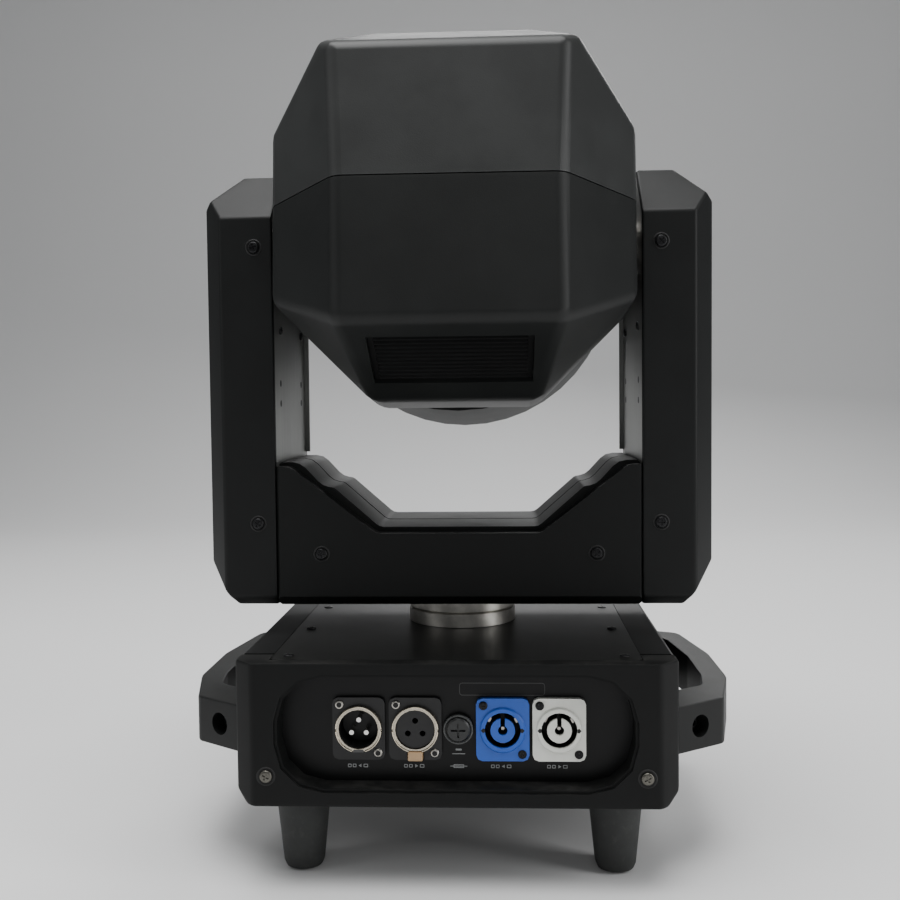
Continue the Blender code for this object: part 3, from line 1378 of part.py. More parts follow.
def make_head_inside(tilt_axis):
    half, sheet = FRAME_HALF, FRAME_SHEET
    front = FRAME_Y + sheet
    rear = -AXLE_FLANGE
    corners = [
        (-half, rear, 0),
        (-half + sheet, rear, 0),
        (-half + sheet, FRAME_Y, 0.001),
        (half - sheet, FRAME_Y, 0.001),
        (half - sheet, rear, 0),
        (half, rear, 0),
        (half, front, 0.004),
        (-half, front, 0.004),
    ]
    tall = FRAME_HALF_HEIGHT
    frame = prism("head_frame", [rounded(corners, 2)], "XY", -tall, tall, parent=tilt_axis)
    finish(frame, GREY, 0.4, 0.8)

    board_outline = circle(DRUM_RADIUS - HEAD_WALL - 0.004, 32)
    board = prism("led_board", [board_outline], "XZ", front + FIT, front + 0.002, parent=tilt_axis)
    bm = bmesh.new()
    for x, z in lens_places():
        place = Matrix.Translation((x, front + 0.002, z))
        size = Matrix.Diagonal((0.006, 0.003, 0.006, 1.0))
        bmesh.ops.create_cube(bm, size=1.0, matrix=place @ size)
    join(board, mesh_object("led_chips", bm, parent=tilt_axis, cutter=True))
    finish(board, (0.7, 0.7, 0.68), 0.5)

    floor_y = FRAME_Y - FIT
    root_y = floor_y - SINK_FLOOR
    tip_y = floor_y - SINK_DEPTH
    corners = [Vector((SINK_HALF, floor_y)), Vector((-SINK_HALF, floor_y))]
    pitch = (2 * SINK_HALF - SINK_FIN) / (SINK_FINS - 1)
    for index in range(SINK_FINS):
        left = -SINK_HALF + index * pitch
        right = left + SINK_FIN
        if index:
            corners.append(Vector((left, root_y)))
        corners.append(Vector((left, tip_y)))
        corners.append(Vector((right, tip_y)))
        if index < SINK_FINS - 1:
            corners.append(Vector((right, root_y)))
    tall = SINK_HALF_HEIGHT
    sink = prism("heatsink", [corners], "XY", -tall, tall, parent=tilt_axis)
    finish(sink, (0.5, 0.5, 0.5), 0.5, 0.9)

    fan_front = tip_y - FIT
    fan_rear = fan_front - FAN_DEPTH
    outlines = [rectangle(FAN_SIZE, FAN_SIZE, 0.006, steps=3), circle(FAN_BORE, 28)]
    fan = prism("fan_frame", outlines, "XZ", fan_rear, fan_front, parent=tilt_axis)
    helper = {"parent": tilt_axis, "cutter": True}
    spider = []
    strut_y = (fan_rear + 0.0002, fan_rear + 0.003)
    reach = FAN_BORE + 0.001
    half = FAN_STRUT / 2
    spider.append(box("strut_a", (-reach, strut_y[0], -half), (reach, strut_y[1], half), **helper))
    spider.append(box("strut_b", (-half, strut_y[0], -reach), (half, strut_y[1], reach), **helper))
    disc_y = (fan_rear + 0.0004, fan_rear + 0.0034)
    disc = cylinder("fan_seat", FAN_HUB, (0, disc_y[0], 0), (0, disc_y[1], 0), 28, **helper)
    join(fan, *spider, disc)
    finish(fan, BLACK, 0.5)

    rotor_rear = disc_y[1] + RUN
    rotor_front = fan_front - 0.002
    middle = (rotor_rear + rotor_front) / 2
    deep = rotor_front - rotor_rear
    half = deep / 2
    hub_profile = [(0, half), (FAN_HUB - 0.001, half), (FAN_HUB, half - 0.001), (FAN_HUB, -half), (0, -half)]
    rotor = turned("fan_rotor", hub_profile, "+Y", (0, middle, 0), 28, tilt_axis)
    tip = FAN_BORE - 0.0015
    bm = bmesh.new()
    long = tip - FAN_HUB + 0.002
    for index in range(FAN_BLADES):
        spin = Matrix.Rotation(2 * math.pi * index / FAN_BLADES, 4, "Y")
        lean = Matrix.Rotation(math.radians(38), 4, "X")
        place = Matrix.Translation((FAN_HUB - 0.002 + long / 2, 0, 0))
        size = Matrix.Diagonal((long, deep * 1.15, 0.0018, 1.0))
        bmesh.ops.create_cube(bm, size=1.0, matrix=spin @ place @ lean @ size)
    blades = mesh_object("fan_blades", bm, at=(0, middle, 0), **helper)
    join(rotor, blades)
    finish(rotor, BLACK, 0.5)


def main():
    global PARTS, CUTTERS
    clear_scene()
    PARTS = new_collection("moving_head_light")
    CUTTERS = new_collection("cutters")
    pan_axis = add_object("pan_axis", None)
    tilt_axis = add_object("tilt_axis", None, at=(0, 0, TILT_Z), turn=(TILT_REST, 0, 0), parent=pan_axis)

    make_base_housing()
    make_connector_panel()
    make_xlr()
    make_fuse()
    power_connector("power_inlet", POWER_IN_X, (0.02, 0.11, 0.55))
    power_connector("power_outlet", POWER_OUT_X, (0.72, 0.73, 0.70))
    make_display()
    make_feet()
    make_handles()
    make_electronics()
    make_pan_drive(pan_axis)
    make_arms(pan_axis)
    make_crossbar(pan_axis)
    make_tilt_drive(pan_axis, tilt_axis)
    make_head_covers(tilt_axis)
    make_drum(tilt_axis)
    make_lenses(tilt_axis)
    make_head_inside(tilt_axis)


main()
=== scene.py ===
import math

import bmesh
import bpy
from mathutils import Matrix, Vector


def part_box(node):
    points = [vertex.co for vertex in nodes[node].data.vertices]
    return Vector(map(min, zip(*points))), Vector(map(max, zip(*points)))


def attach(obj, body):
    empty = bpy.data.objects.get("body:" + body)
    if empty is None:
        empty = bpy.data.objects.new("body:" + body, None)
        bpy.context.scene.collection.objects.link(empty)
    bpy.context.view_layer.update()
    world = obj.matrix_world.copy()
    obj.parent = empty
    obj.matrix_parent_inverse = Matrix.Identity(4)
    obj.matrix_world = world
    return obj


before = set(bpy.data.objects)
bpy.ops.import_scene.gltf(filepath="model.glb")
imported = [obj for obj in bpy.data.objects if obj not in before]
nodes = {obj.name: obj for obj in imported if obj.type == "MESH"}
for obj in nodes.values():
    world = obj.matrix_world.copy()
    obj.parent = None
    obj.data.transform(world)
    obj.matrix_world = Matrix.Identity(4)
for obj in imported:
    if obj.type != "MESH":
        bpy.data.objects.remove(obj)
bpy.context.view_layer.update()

tiltPoint = Vector((0, 0, 0.283))
restTilt = math.radians(-5.5)
headSpace = Matrix.Translation(tiltPoint) @ Matrix.Rotation(restTilt, 4, "X")


class Wire:
    # one output socket; arithmetic on it adds Math nodes

    def __init__(self, finish, socket):
        self.finish = finish
        self.socket = socket

    def calc(self, operation, *values):
        return self.finish.node("ShaderNodeMath", {"operation": operation}, dict(enumerate(values)))

    def __add__(self, other):
        return self.calc("ADD", self, other)

    def __sub__(self, other):
        return self.calc("SUBTRACT", self, other)

    def __rsub__(self, other):
        return self.calc("SUBTRACT", other, self)

    def __mul__(self, other):
        return self.calc("MULTIPLY", self, other)

    def __pow__(self, other):
        return self.calc("POWER", self, other)

    def __gt__(self, other):
        return self.calc("GREATER_THAN", self, other)

    def __lt__(self, other):
        return self.calc("LESS_THAN", self, other)

    def __abs__(self):
        return self.calc("ABSOLUTE", self)

    __radd__ = __add__
    __rmul__ = __mul__

    def sine(self):
        return self.calc("SINE", self)

    def between(self, low, high):
        # 0 below low, 1 above high, smooth in the middle
        return self.finish.node(
            "ShaderNodeMapRange",
            {"interpolation_type": "SMOOTHSTEP"},
            {"Value": self, "From Min": low, "From Max": high},
        )


class Finish:
    # one material and its node tree

    def __init__(self, name, colour, roughness=0.5, metallic=0.0):
        self.material = bpy.data.materials.new(name)
        self.material.use_nodes = True
        self.material.diffuse_color = (*colour, 1.0)
        self.tree = self.material.node_tree
        self.shader = self.tree.nodes["Principled BSDF"]
        self.set("Base Color", (*colour, 1.0))
        self.set("Roughness", roughness)
        self.set("Metallic", metallic)
        self.here = self.node("ShaderNodeTexCoord", output="Object")
        self.normal = Wire(self, self.here.socket.node.outputs["Normal"])

    def feed(self, socket, value):
        if isinstance(value, Wire):
            self.tree.links.new(value.socket, socket)
        else:
            socket.default_value = value

    def set(self, name, value):
        self.feed(self.shader.inputs[name], value)

    def node(self, kind, settings=None, inputs=None, output=0):
        # settings come first, because they decide which sockets a node has
        made = self.tree.nodes.new(kind)
        for name, value in (settings or {}).items():
            setattr(made, name, value)
        for name, value in (inputs or {}).items():
            self.feed(made.inputs[name], value)
        return Wire(self, made.outputs[output])

    def mix(self, mask, first, second):
        # two colours, the second where the mask is 1
        settings = {"data_type": "RGBA"}
        return self.node("ShaderNodeMix", settings, {0: mask, 6: first, 7: second}, 2)

    def noise(self, scale, detail=2.0, rough=0.5, where=None):
        inputs = {"Vector": where or self.here, "Scale": scale, "Detail": detail, "Roughness": rough}
        return self.node("ShaderNodeTexNoise", None, inputs)

    def cells(self, scale, feature="F1"):
        return self.node("ShaderNodeTexVoronoi", {"feature": feature}, {"Vector": self.here, "Scale": scale})

    def parts(self, vector):
        # the x, y and z of a vector
        first = self.node("ShaderNodeSeparateXYZ", None, {0: vector})
        return [Wire(self, output) for output in first.socket.node.outputs]

    def stretch(self, scale):
        return self.node("ShaderNodeMapping", {"vector_type": "POINT"}, {"Vector": self.here, "Scale": scale})

    def away(self, centre, axes):
        # distance from a centre, along the named axes only
        x, y, z = self.parts(self.here)
        total = None
        for wire, name, middle in ((x, "x", centre[0]), (y, "y", centre[1]), (z, "z", centre[2])):
            if name in axes:
                square = (wire - middle) * (wire - middle)
                total = square if total is None else total + square
        return total ** 0.5

    def bump(self, height, strength, distance):
        inputs = {"Height": height, "Strength": strength, "Distance": distance}
        return self.node("ShaderNodeBump", None, inputs)

    def edges(self, radius):
        # 1 along sharp edges, 0 on open faces
        smoothed = self.node("ShaderNodeBevel", {"samples": 4}, {"Radius": radius})
        flat = self.node("ShaderNodeNewGeometry", None, None, "True Normal")
        likeness = self.node(
            "ShaderNodeVectorMath", {"operation": "DOT_PRODUCT"}, {0: smoothed, 1: flat}, "Value"
        )
        return (1 - likeness).between(0.02, 0.22)


def tinted(colour, factor):
    return tuple(min(1.0, value * factor) for value in colour[:3]) + (1.0,)


mouldedLook = {
    "clouds": 22, "grain": 1500, "fineGrain": 2600, "grainHeight": 0.00012, "grainStrength": 0.16,
    "edge": 0.0012, "wearAndHighlight": 2.6, "wearAndHighlightShare": 0.42, "edgeBreakupScale": 140,
    "dust": (0.075, 0.073, 0.068, 1.0), "dustShare": 0.22, "dustScale": 60, "specular": 0.26,
}


def mouldedCover(name, colour, roughness=0.46, wearAndHighlight=1.0):
    # spark-eroded plastic: fine grain, faint clouds, edges painted paler as rubbed wear and a painted
    # highlight
    made = Finish(name, colour, roughness)
    clouds = made.noise(mouldedLook["clouds"], 4, 0.6)
    edgeBreakup = made.noise(mouldedLook["edgeBreakupScale"], 3, 0.65).between(0.42, 0.62)
    # paler edges: partly rubbed wear, partly a painted highlight along every sharp edge
    edge = made.edges(mouldedLook["edge"]) * (edgeBreakup * 0.5 + 0.5) * wearAndHighlight
    facesUp = made.parts(made.normal)[2].between(0.55, 1.0)
    settled = made.noise(mouldedLook["dustScale"], 5, 0.7).between(0.40, 0.75)
    dust = facesUp * settled * mouldedLook["dustShare"]
    body = made.mix(clouds.between(0.35, 0.65), tinted(colour, 0.88), tinted(colour, 1.12))
    body = made.mix(edge * mouldedLook["wearAndHighlightShare"], body, tinted(colour, mouldedLook["wearAndHighlight"]))
    made.set("Base Color", made.mix(dust, body, mouldedLook["dust"]))
    made.set("Roughness", clouds * 0.10 + (roughness - 0.05) + dust * 0.3 - edge * 0.10)
    grain = made.cells(mouldedLook["grain"]) + made.noise(mouldedLook["fineGrain"], 1)
    made.set("Normal", made.bump(grain, mouldedLook["grainStrength"], mouldedLook["grainHeight"]))
    made.set("Specular IOR Level", mouldedLook["specular"])
    return made


coatLook = {
    "clouds": 16, "edge": 0.0006, "wearAndHighlight": 3.0, "wearAndHighlightShare": 0.35, "specks": 3200, "speckShare": 0.25,
    "peel": 900, "peelHeight": 0.00009, "peelStrength": 0.22, "specular": 0.26,
}


def powderCoat(name, colour, roughness=0.5, metallic=0.0, height=1.0):
    # baked powder paint with a fine orange-peel skin
    made = Finish(name, colour, roughness, metallic)
    broad = made.noise(coatLook["clouds"], 4, 0.6)
    # paler edges: partly worn paint, partly a painted highlight along every sharp edge
    edge = made.edges(coatLook["edge"])
    body = made.mix(broad.between(0.3, 0.7), tinted(colour, 0.86), tinted(colour, 1.14))
    body = made.mix(edge * coatLook["wearAndHighlightShare"], body, tinted(colour, coatLook["wearAndHighlight"]))
    specks = made.noise(coatLook["specks"], 1).between(0.62, 0.72)
    made.set("Base Color", made.mix(specks * coatLook["speckShare"], body, tinted(colour, 1.9)))
    made.set("Roughness", broad * 0.14 + (roughness - 0.07))
    peel = made.noise(coatLook["peel"], 3, 0.55)
    made.set("Normal", made.bump(peel, coatLook["peelStrength"] * height, coatLook["peelHeight"]))
    made.set("Specular IOR Level", coatLook["specular"])
    return made


turnedLook = {"pitch": 0.00045, "ringHeight": 0.00005, "ringStrength": 0.10, "stains": 90}


def turnedMetal(name, colour, roughness, centre, axes):
    # lathe-cut steel or aluminium: fine rings round an axis, with faint stains
    made = Finish(name, colour, roughness, 1.0)
    away = made.away(centre, axes)
    along = made.parts(made.here)["xyz".index(({"x", "y", "z"} - set(axes)).pop())]
    rings = ((away + along) * (math.tau / turnedLook["pitch"])).sine()
    stain = made.noise(turnedLook["stains"], 4, 0.6)
    made.set("Base Color", made.mix(stain.between(0.35, 0.7), tinted(colour, 1.06), tinted(colour, 0.78)))
    made.set("Roughness", stain * 0.16 + (roughness - 0.06) + rings * 0.02)
    made.set("Normal", made.bump(rings, turnedLook["ringStrength"], turnedLook["ringHeight"]))
    return made


sheetLook = {"haze": 14, "grainHeight": 0.00006, "grainStrength": 0.12}


def brushedSheet(name, colour, roughness, scale, metallic=0.9):
    # rolled sheet metal, grained along one way
    made = Finish(name, colour, roughness, metallic)
    grain = made.noise(1.0, 3, 0.6, made.stretch(scale))
    haze = made.noise(sheetLook["haze"], 4, 0.6)
    made.set("Base Color", made.mix(haze.between(0.3, 0.7), tinted(colour, 0.86), tinted(colour, 1.10)))
    made.set("Roughness", grain * 0.14 + haze * 0.08 + (roughness - 0.1))
    made.set("Normal", made.bump(grain, sheetLook["grainStrength"], sheetLook["grainHeight"]))
    return made


rubberLook = {
    "scuffs": 45, "chalkScale": 260, "chalk": (0.11, 0.108, 0.10, 1.0), "chalkShare": 0.16,
    "pores": 1200, "poreStrength": 0.3, "poreHeight": 0.00012,
}


def rubberFinish(name, colour):
    # dull rubber, scuffed and a little chalky
    made = Finish(name, colour, 0.72)
    scuff = made.noise(rubberLook["scuffs"], 5, 0.7)
    chalk = made.noise(rubberLook["chalkScale"], 4, 0.7).between(0.5, 0.8)
    body = made.mix(scuff.between(0.35, 0.7), tinted(colour, 0.8), tinted(colour, 1.25))
    made.set("Base Color", made.mix(chalk * rubberLook["chalkShare"], body, rubberLook["chalk"]))
    made.set("Roughness", scuff * 0.15 + 0.62)
    pores = made.noise(rubberLook["pores"], 3, 0.6)
    made.set("Normal", made.bump(pores, rubberLook["poreStrength"], rubberLook["poreHeight"]))
    return made


mouldingLook = {
    "tone": 120, "edge": 0.0004, "wearAndHighlight": 1.8, "wearAndHighlightShare": 0.25,
    "grain": 2400, "grainStrength": 0.1, "grainHeight": 0.00006,
}


def smallMoulding(name, colour, roughness=0.38, variation=0.1):
    # satin injection moulding for small pieces
    made = Finish(name, colour, roughness)
    tone = made.noise(mouldingLook["tone"], 3, 0.6)
    # paler edges: partly wear, partly a painted highlight along every sharp edge
    edge = made.edges(mouldingLook["edge"])
    body = made.mix(tone, tinted(colour, 1 - variation), tinted(colour, 1 + variation))
    wornAndHighlit = edge * mouldingLook["wearAndHighlightShare"]
    made.set("Base Color", made.mix(wornAndHighlit, body, tinted(colour, mouldingLook["wearAndHighlight"])))
    made.set("Roughness", tone * 0.14 + (roughness - 0.07))
    grain = made.noise(mouldingLook["grain"], 2)
    made.set("Normal", made.bump(grain, mouldingLook["grainStrength"], mouldingLook["grainHeight"]))
    return made


# the five connectors of the base stand in one row, at these places along it
connectorRow = {
    "z": 0.0355, "pinInput": -0.048, "holeOutput": -0.020, "fuse": 0.0012,
    "powerIn": 0.023, "powerOut": 0.0506,
}
plugLook = {
    "black": (0.006, 0.006, 0.0065), "rim": (0.58, 0.53, 0.44, 1.0), "rimRadius": 0.0118,
    "flangeFace": -0.0980,
    "tone": 400, "grain": 1800, "grainStrength": 0.12, "grainHeight": 0.00006,
}


def plugShell(name, x):
    # black flange with a champagne rim round the tube
    black = plugLook["black"]
    made = Finish(name, black, 0.42)
    away = made.away((x, 0, connectorRow["z"]), "xz")
    depth = made.parts(made.here)[1]
    rim = (away < plugLook["rimRadius"]) * (depth < plugLook["flangeFace"] - 0.0001)
    tone = made.noise(plugLook["tone"], 3)
    body = made.mix(tone, tinted(black, 0.7), tinted(black, 1.3))
    lip = made.mix(tone, plugLook["rim"], tinted(plugLook["rim"], 0.7))
    made.set("Base Color", made.mix(rim, body, lip))
    made.set("Metallic", rim * 0.95)
    made.set("Roughness", 0.46 - rim * 0.22 + tone * 0.06)
    grain = made.noise(plugLook["grain"], 2)
    made.set("Normal", made.bump(grain, plugLook["grainStrength"], plugLook["grainHeight"]))
    return made


insertLook = {
    "black": (0.007, 0.007, 0.0075), "tone": 500, "pin": (0.78, 0.77, 0.74, 1.0), "pinReach": 0.0062,
    "floorY": -0.0872,
}


def holeInsert(name):
    # black moulded face with three contact holes
    black = insertLook["black"]
    made = Finish(name, black, 0.5)
    tone = made.noise(insertLook["tone"], 2)
    made.set("Base Color", made.mix(tone, tinted(black, 0.7), tinted(black, 1.4)))
    made.set("Roughness", tone * 0.12 + 0.44)
    return made


def pinInsert(name, x):
    # black moulded floor; what stands out from it is a silver-plated pin
    black = insertLook["black"]
    made = Finish(name, black, 0.5)
    depth = made.parts(made.here)[1]
    tone = made.noise(insertLook["tone"], 2)
    reach = made.away((x, 0, connectorRow["z"]), "xz")
    metal = (depth < insertLook["floorY"]) * (reach < insertLook["pinReach"])
    made.set("Base Color", made.mix(metal, tinted(black, 1.0), insertLook["pin"]))
    made.set("Metallic", metal)
    made.set("Roughness", 0.5 - metal * 0.3 + tone * 0.04)
    return made


powerLook = {
    "face": -0.0992, "shadedRecessRadius": 0.0089, "shadedRecessDepth": 0.0006, "dark": (0.004, 0.004, 0.006, 1.0),
    "tone": 90, "edge": 0.0005, "wearAndHighlight": 1.5, "wearAndHighlightShare": 0.3,
    "grain": 1500, "grainStrength": 0.08, "grainHeight": 0.00006,
}


def powerBody(name, x, colour):
    # coloured moulding, painted near black down in its contact ring as painted shade of the deep recess
    made = Finish(name, colour, 0.32)
    away = made.away((x, 0, connectorRow["z"]), "xz")
    depth = made.parts(made.here)[1]
    # painted shade: near black where the face lies deep in the contact ring
    sunk = (away < powerLook["shadedRecessRadius"]) * (depth > powerLook["face"] + powerLook["shadedRecessDepth"])
    tone = made.noise(powerLook["tone"], 3, 0.6)
    # paler edges: partly wear, partly a painted highlight along every sharp edge
    edge = made.edges(powerLook["edge"])
    body = made.mix(tone, tinted(colour, 0.9), tinted(colour, 1.08))
    body = made.mix(edge * powerLook["wearAndHighlightShare"], body, tinted(colour, powerLook["wearAndHighlight"]))
    made.set("Base Color", made.mix(sunk, body, powerLook["dark"]))
    made.set("Roughness", tone * 0.1 + 0.28 + sunk * 0.2)
    grain = made.noise(powerLook["grain"], 2)
    made.set("Normal", made.bump(grain, powerLook["grainStrength"], powerLook["grainHeight"]))
    return made


opticLook = {
    "pale": (0.86, 0.89, 0.92, 1.0), "dim": (0.74, 0.78, 0.83, 1.0), "haze": 60, "clear": 0.97, "index": 1.49,
    "honeycomb": 420, "combStrength": 0.25, "combHeight": 0.0004,
}


def lensOptic(name):
    # clear moulded optics: pressed honeycomb on top, a little haze
    made = Finish(name, (0.80, 0.84, 0.88), 0.08)
    comb = made.cells(opticLook["honeycomb"])
    haze = made.noise(opticLook["haze"], 3)
    made.set("Base Color", made.mix(haze, opticLook["dim"], opticLook["pale"]))
    made.set("Roughness", haze * 0.04 + 0.01)
    made.set("Normal", made.bump(comb, opticLook["combStrength"], opticLook["combHeight"]))
    made.set("Transmission Weight", opticLook["clear"])
    made.set("IOR", opticLook["index"])
    return made


glassLook = {
    "deep": (0.005, 0.008, 0.012, 1.0), "shallow": (0.009, 0.013, 0.020, 1.0), "tone": 30,
    "dotRate": 2200, "dot": (0.02, 0.035, 0.05, 1.0), "dotShare": 0.3, "coat": 0.6,
}


def screenGlass(name):
    # dark gloss window with a faint dot grid under it
    made = Finish(name, (0.006, 0.009, 0.014), 0.08)
    x, _, z = made.parts(made.here)
    dots = abs((x * glassLook["dotRate"]).sine()) * abs((z * glassLook["dotRate"]).sine())
    tone = made.noise(glassLook["tone"], 3)
    base = made.mix(tone, glassLook["deep"], glassLook["shallow"])
    made.set("Base Color", made.mix(dots.between(0.6, 1.0) * glassLook["dotShare"], base, glassLook["dot"]))
    made.set("Roughness", tone * 0.05 + 0.05)
    made.set("Coat Weight", glassLook["coat"])
    return made


boardLook = {"tracks": 260, "tone": 40, "trackStrength": 0.2, "trackHeight": 0.0001}


def circuitBoard(name, colour):
    # lacquered board with paler tracks
    made = Finish(name, colour, 0.35)
    tracks = made.cells(boardLook["tracks"], "DISTANCE_TO_EDGE").between(0.02, 0.06)
    tone = made.noise(boardLook["tone"], 3)
    body = made.mix(tracks, tinted(colour, 1.7), (*colour, 1.0))
    made.set("Base Color", made.mix(tone * 0.4, body, tinted(colour, 0.6)))
    made.set("Roughness", tone * 0.1 + 0.3)
    made.set("Normal", made.bump(tracks, boardLook["trackStrength"], boardLook["trackHeight"]))
    return made


print("finishes")
charcoal = mouldedCover("charcoalCover", (0.0040, 0.0046, 0.0045), 0.5)
baseShell = mouldedCover("baseCover", (0.0012, 0.0015, 0.0014), 0.64)
# the head's upper and lower covers are one plastic given two base colours: the upper copy paler as painted
# light from above, the lower copy darker as painted shade
headCoverPaintedLit = mouldedCover("headCoverLitCopy", (0.0270, 0.0282, 0.0278), 0.42)
headCoverPaintedShaded = mouldedCover("headCoverShadedCopy", (0.0082, 0.0090, 0.0087), 0.48)
drumShell = mouldedCover("drumCover", (0.0036, 0.0040, 0.0039), 0.62, 0.6)
crossbarShell = mouldedCover("crossbarCover", (0.0016, 0.0021, 0.0019), 0.56)
handleShell = mouldedCover("handleCover", (0.0062, 0.0067, 0.0065), 0.50, 1.3)
bezelBlack = mouldedCover("bezelBlack", (0.0030, 0.0032, 0.0034), 0.58, 0.8)
grilleBlack = mouldedCover("grilleBlack", (0.0030, 0.0031, 0.0032), 0.5, 1.4)
chassisCoat = powderCoat("chassisCoat", (0.0050, 0.0053, 0.0052), 0.48)
topCoat = powderCoat("topPlateCoat", (0.0085, 0.0088, 0.0083), 0.38)
panelCoat = powderCoat("panelCoat", (0.0022, 0.0023, 0.0024), 0.42, 0.0, 0.6)
armSheet = brushedSheet("armSheet", (0.23, 0.235, 0.225), 0.40, (40, 500, 8), 0.75)
yokeSheet = brushedSheet("yokeSheet", (0.075, 0.077, 0.072), 0.42, (8, 500, 40), 0.75)
hubSteel = turnedMetal("hubSteel", (0.66, 0.64, 0.59), 0.36, (0, 0, 0), "xy")
axleSteel = turnedMetal("axleSteel", (0.62, 0.60, 0.56), 0.24, tuple(tiltPoint), "yz")
pulleyAlloy = turnedMetal("pulleyAlloy", (0.62, 0.63, 0.64), 0.3, (0, 0, 0), "xy")
sinkAlloy = brushedSheet("heatsinkAlloy", (0.60, 0.61, 0.62), 0.35, (300, 20, 300), 1.0)
motorCoat = powderCoat("motorCoat", (0.016, 0.016, 0.018), 0.4, 0.2)
footRubber = rubberFinish("footRubber", (0.022, 0.0235, 0.0225))
beltRubber = rubberFinish("beltRubber", (0.014, 0.014, 0.014))
fuseBlack = smallMoulding("fuseBlack", (0.016, 0.017, 0.017), 0.36)
fanBlack = smallMoulding("fanBlack", (0.012, 0.012, 0.013), 0.42)
buttonGrey = smallMoulding("buttonGrey", (0.060, 0.062, 0.064), 0.45)
latchTan = smallMoulding("latchTan", (0.47, 0.31, 0.17), 0.34, 0.18)
boardGreen = circuitBoard("boardGreen", (0.012, 0.075, 0.035))
boardWhite = circuitBoard("boardWhite", (0.30, 0.31, 0.31))
lensClear = lensOptic("lensClear")
screenDark = screenGlass("screenDark")
powerBlue = powerBody("powerBlue", connectorRow["powerIn"], (0.016, 0.100, 0.50))
powerWhite = powerBody("powerWhite", connectorRow["powerOut"], (0.80, 0.81, 0.75))
inputShell = plugShell("inputShell", connectorRow["pinInput"])
outputShell = plugShell("outputShell", connectorRow["holeOutput"])
inputPins = pinInsert("inputPins", connectorRow["pinInput"])
outputFace = holeInsert("outputFace")
screwBlack = powderCoat("screwBlack", (0.020, 0.020, 0.021), 0.34, 0.7, 0.5)
screwZinc = brushedSheet("screwZinc", (0.13, 0.125, 0.11), 0.36, (400, 400, 400), 1.0)
screwSteel = brushedSheet("screwSteel", (0.50, 0.48, 0.44), 0.30, (400, 400, 400), 1.0)
# near black standing in for the shade down in holes, slots, notches, sockets and counterbores: painted shade
paintedHoleShade = smallMoulding("paintedHoleShade", (0.003, 0.003, 0.003), 0.6)
inkPale = smallMoulding("inkPale", (0.30, 0.31, 0.31), 0.6)
inkDim = smallMoulding("inkDim", (0.10, 0.10, 0.10), 0.6)
notchGrey = smallMoulding("notchGrey", (0.05, 0.05, 0.05), 0.3)
lipGrey = smallMoulding("lipGrey", (0.085, 0.088, 0.088), 0.25)
foamBlack = rubberFinish("filterFoam", (0.006, 0.006, 0.006))

wearsThese = {
    charcoal: "arm_cover_left arm_cover_right",
    baseShell: "base_rear_cover base_front_cover",
    headCoverPaintedLit: "head_cover_upper",
    headCoverPaintedShaded: "head_cover_lower",
    drumShell: "head_drum",
    crossbarShell: "crossbar_cover_rear crossbar_cover_front",
    handleShell: "handle_left handle_right",
    bezelBlack: "front_bezel",
    grilleBlack: "head_grille",
    chassisCoat: "base_chassis",
    topCoat: "base_top_plate",
    panelCoat: "connector_panel display_panel",
    armSheet: "arm_plate_left arm_plate_right",
    yokeSheet: "yoke_base_plate head_frame",
    hubSteel: "pan_hub pan_bearing",
    axleSteel: "tilt_axle_left tilt_axle_right tilt_bearing_left tilt_bearing_right",
    pulleyAlloy: "pan_ring_pulley pan_drive_pulley tilt_driven_pulley tilt_drive_pulley",
    sinkAlloy: "heatsink power_supply",
    motorCoat: "pan_motor tilt_motor",
    footRubber: "foot_rear_left foot_rear_right foot_front_left foot_front_right",
    beltRubber: "pan_belt tilt_belt",
    fuseBlack: "fuse_holder fuse_cap",
    fanBlack: "fan_frame fan_rotor",
    buttonGrey: "menu_button_1 menu_button_2 menu_button_3 menu_button_4",
    latchTan: "xlr_release_tab",
    boardGreen: "control_board",
    boardWhite: "led_board",
    lensClear: "lens_cluster",
    screenDark: "display_screen",
    powerBlue: "power_inlet",
    powerWhite: "power_outlet",
    inputShell: "xlr_input_shell",
    outputShell: "xlr_output_shell",
    inputPins: "xlr_input_insert",
    outputFace: "xlr_output_insert",
}
smoothing = {"weld": 0.00001, "split": math.radians(34), "weight": 90, "sharp": math.radians(36)}


def dress(node, finish):
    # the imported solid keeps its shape; only its shading is smoothed
    obj = nodes[node]
    obj.data.materials.clear()
    obj.data.materials.append(finish.material)
    obj.data.polygons.foreach_set("use_smooth", [True] * len(obj.data.polygons))
    weld = obj.modifiers.new("weld", "WELD")
    weld.merge_threshold = smoothing["weld"]
    split = obj.modifiers.new("split", "EDGE_SPLIT")
    split.split_angle = smoothing["split"]
    weighted = obj.modifiers.new("weighted", "WEIGHTED_NORMAL")
    weighted.weight = smoothing["weight"]


for finish, names in wearsThese.items():
    for node in names.split():
        dress(node, finish)


def facing(at, normal, spin=0.0):
    # a matrix whose +Z points along the normal
    turn = Vector(normal).normalized().to_track_quat("Z", "Y").to_matrix().to_4x4()
    return Matrix.Translation(Vector(at)) @ turn @ Matrix.Rotation(spin, 4, "Z")


def seat(node, start, way, spin=0.0):
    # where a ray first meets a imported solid, as a matrix with +Z out of its face
    hit, at, normal, _ = nodes[node].ray_cast(Vector(start), Vector(way).normalized())
    if not hit:
        raise ValueError("nothing of " + node + " lies that way")
    return facing(at, normal, spin)


def arcPoints(radius, start, end, steps, x=0.0, y=0.0):
    for index in range(steps + 1):
        turn = start + (end - start) * index / steps
        yield x + radius * math.cos(turn), y + radius * math.sin(turn)


def circle(radius, count):
    return arcPoints(radius, 0, math.tau * (1 - 1 / count), count - 1)


def roundedRectangle(width, height, radius, steps=4):
    points = []
    for quarter, (sx, sy) in enumerate(((1, 1), (-1, 1), (-1, -1), (1, -1))):
        x, y = sx * (width / 2 - radius), sy * (height / 2 - radius)
        first = quarter * math.pi / 2
        points += list(arcPoints(radius, first, first + math.pi / 2, steps, x, y))
    return points


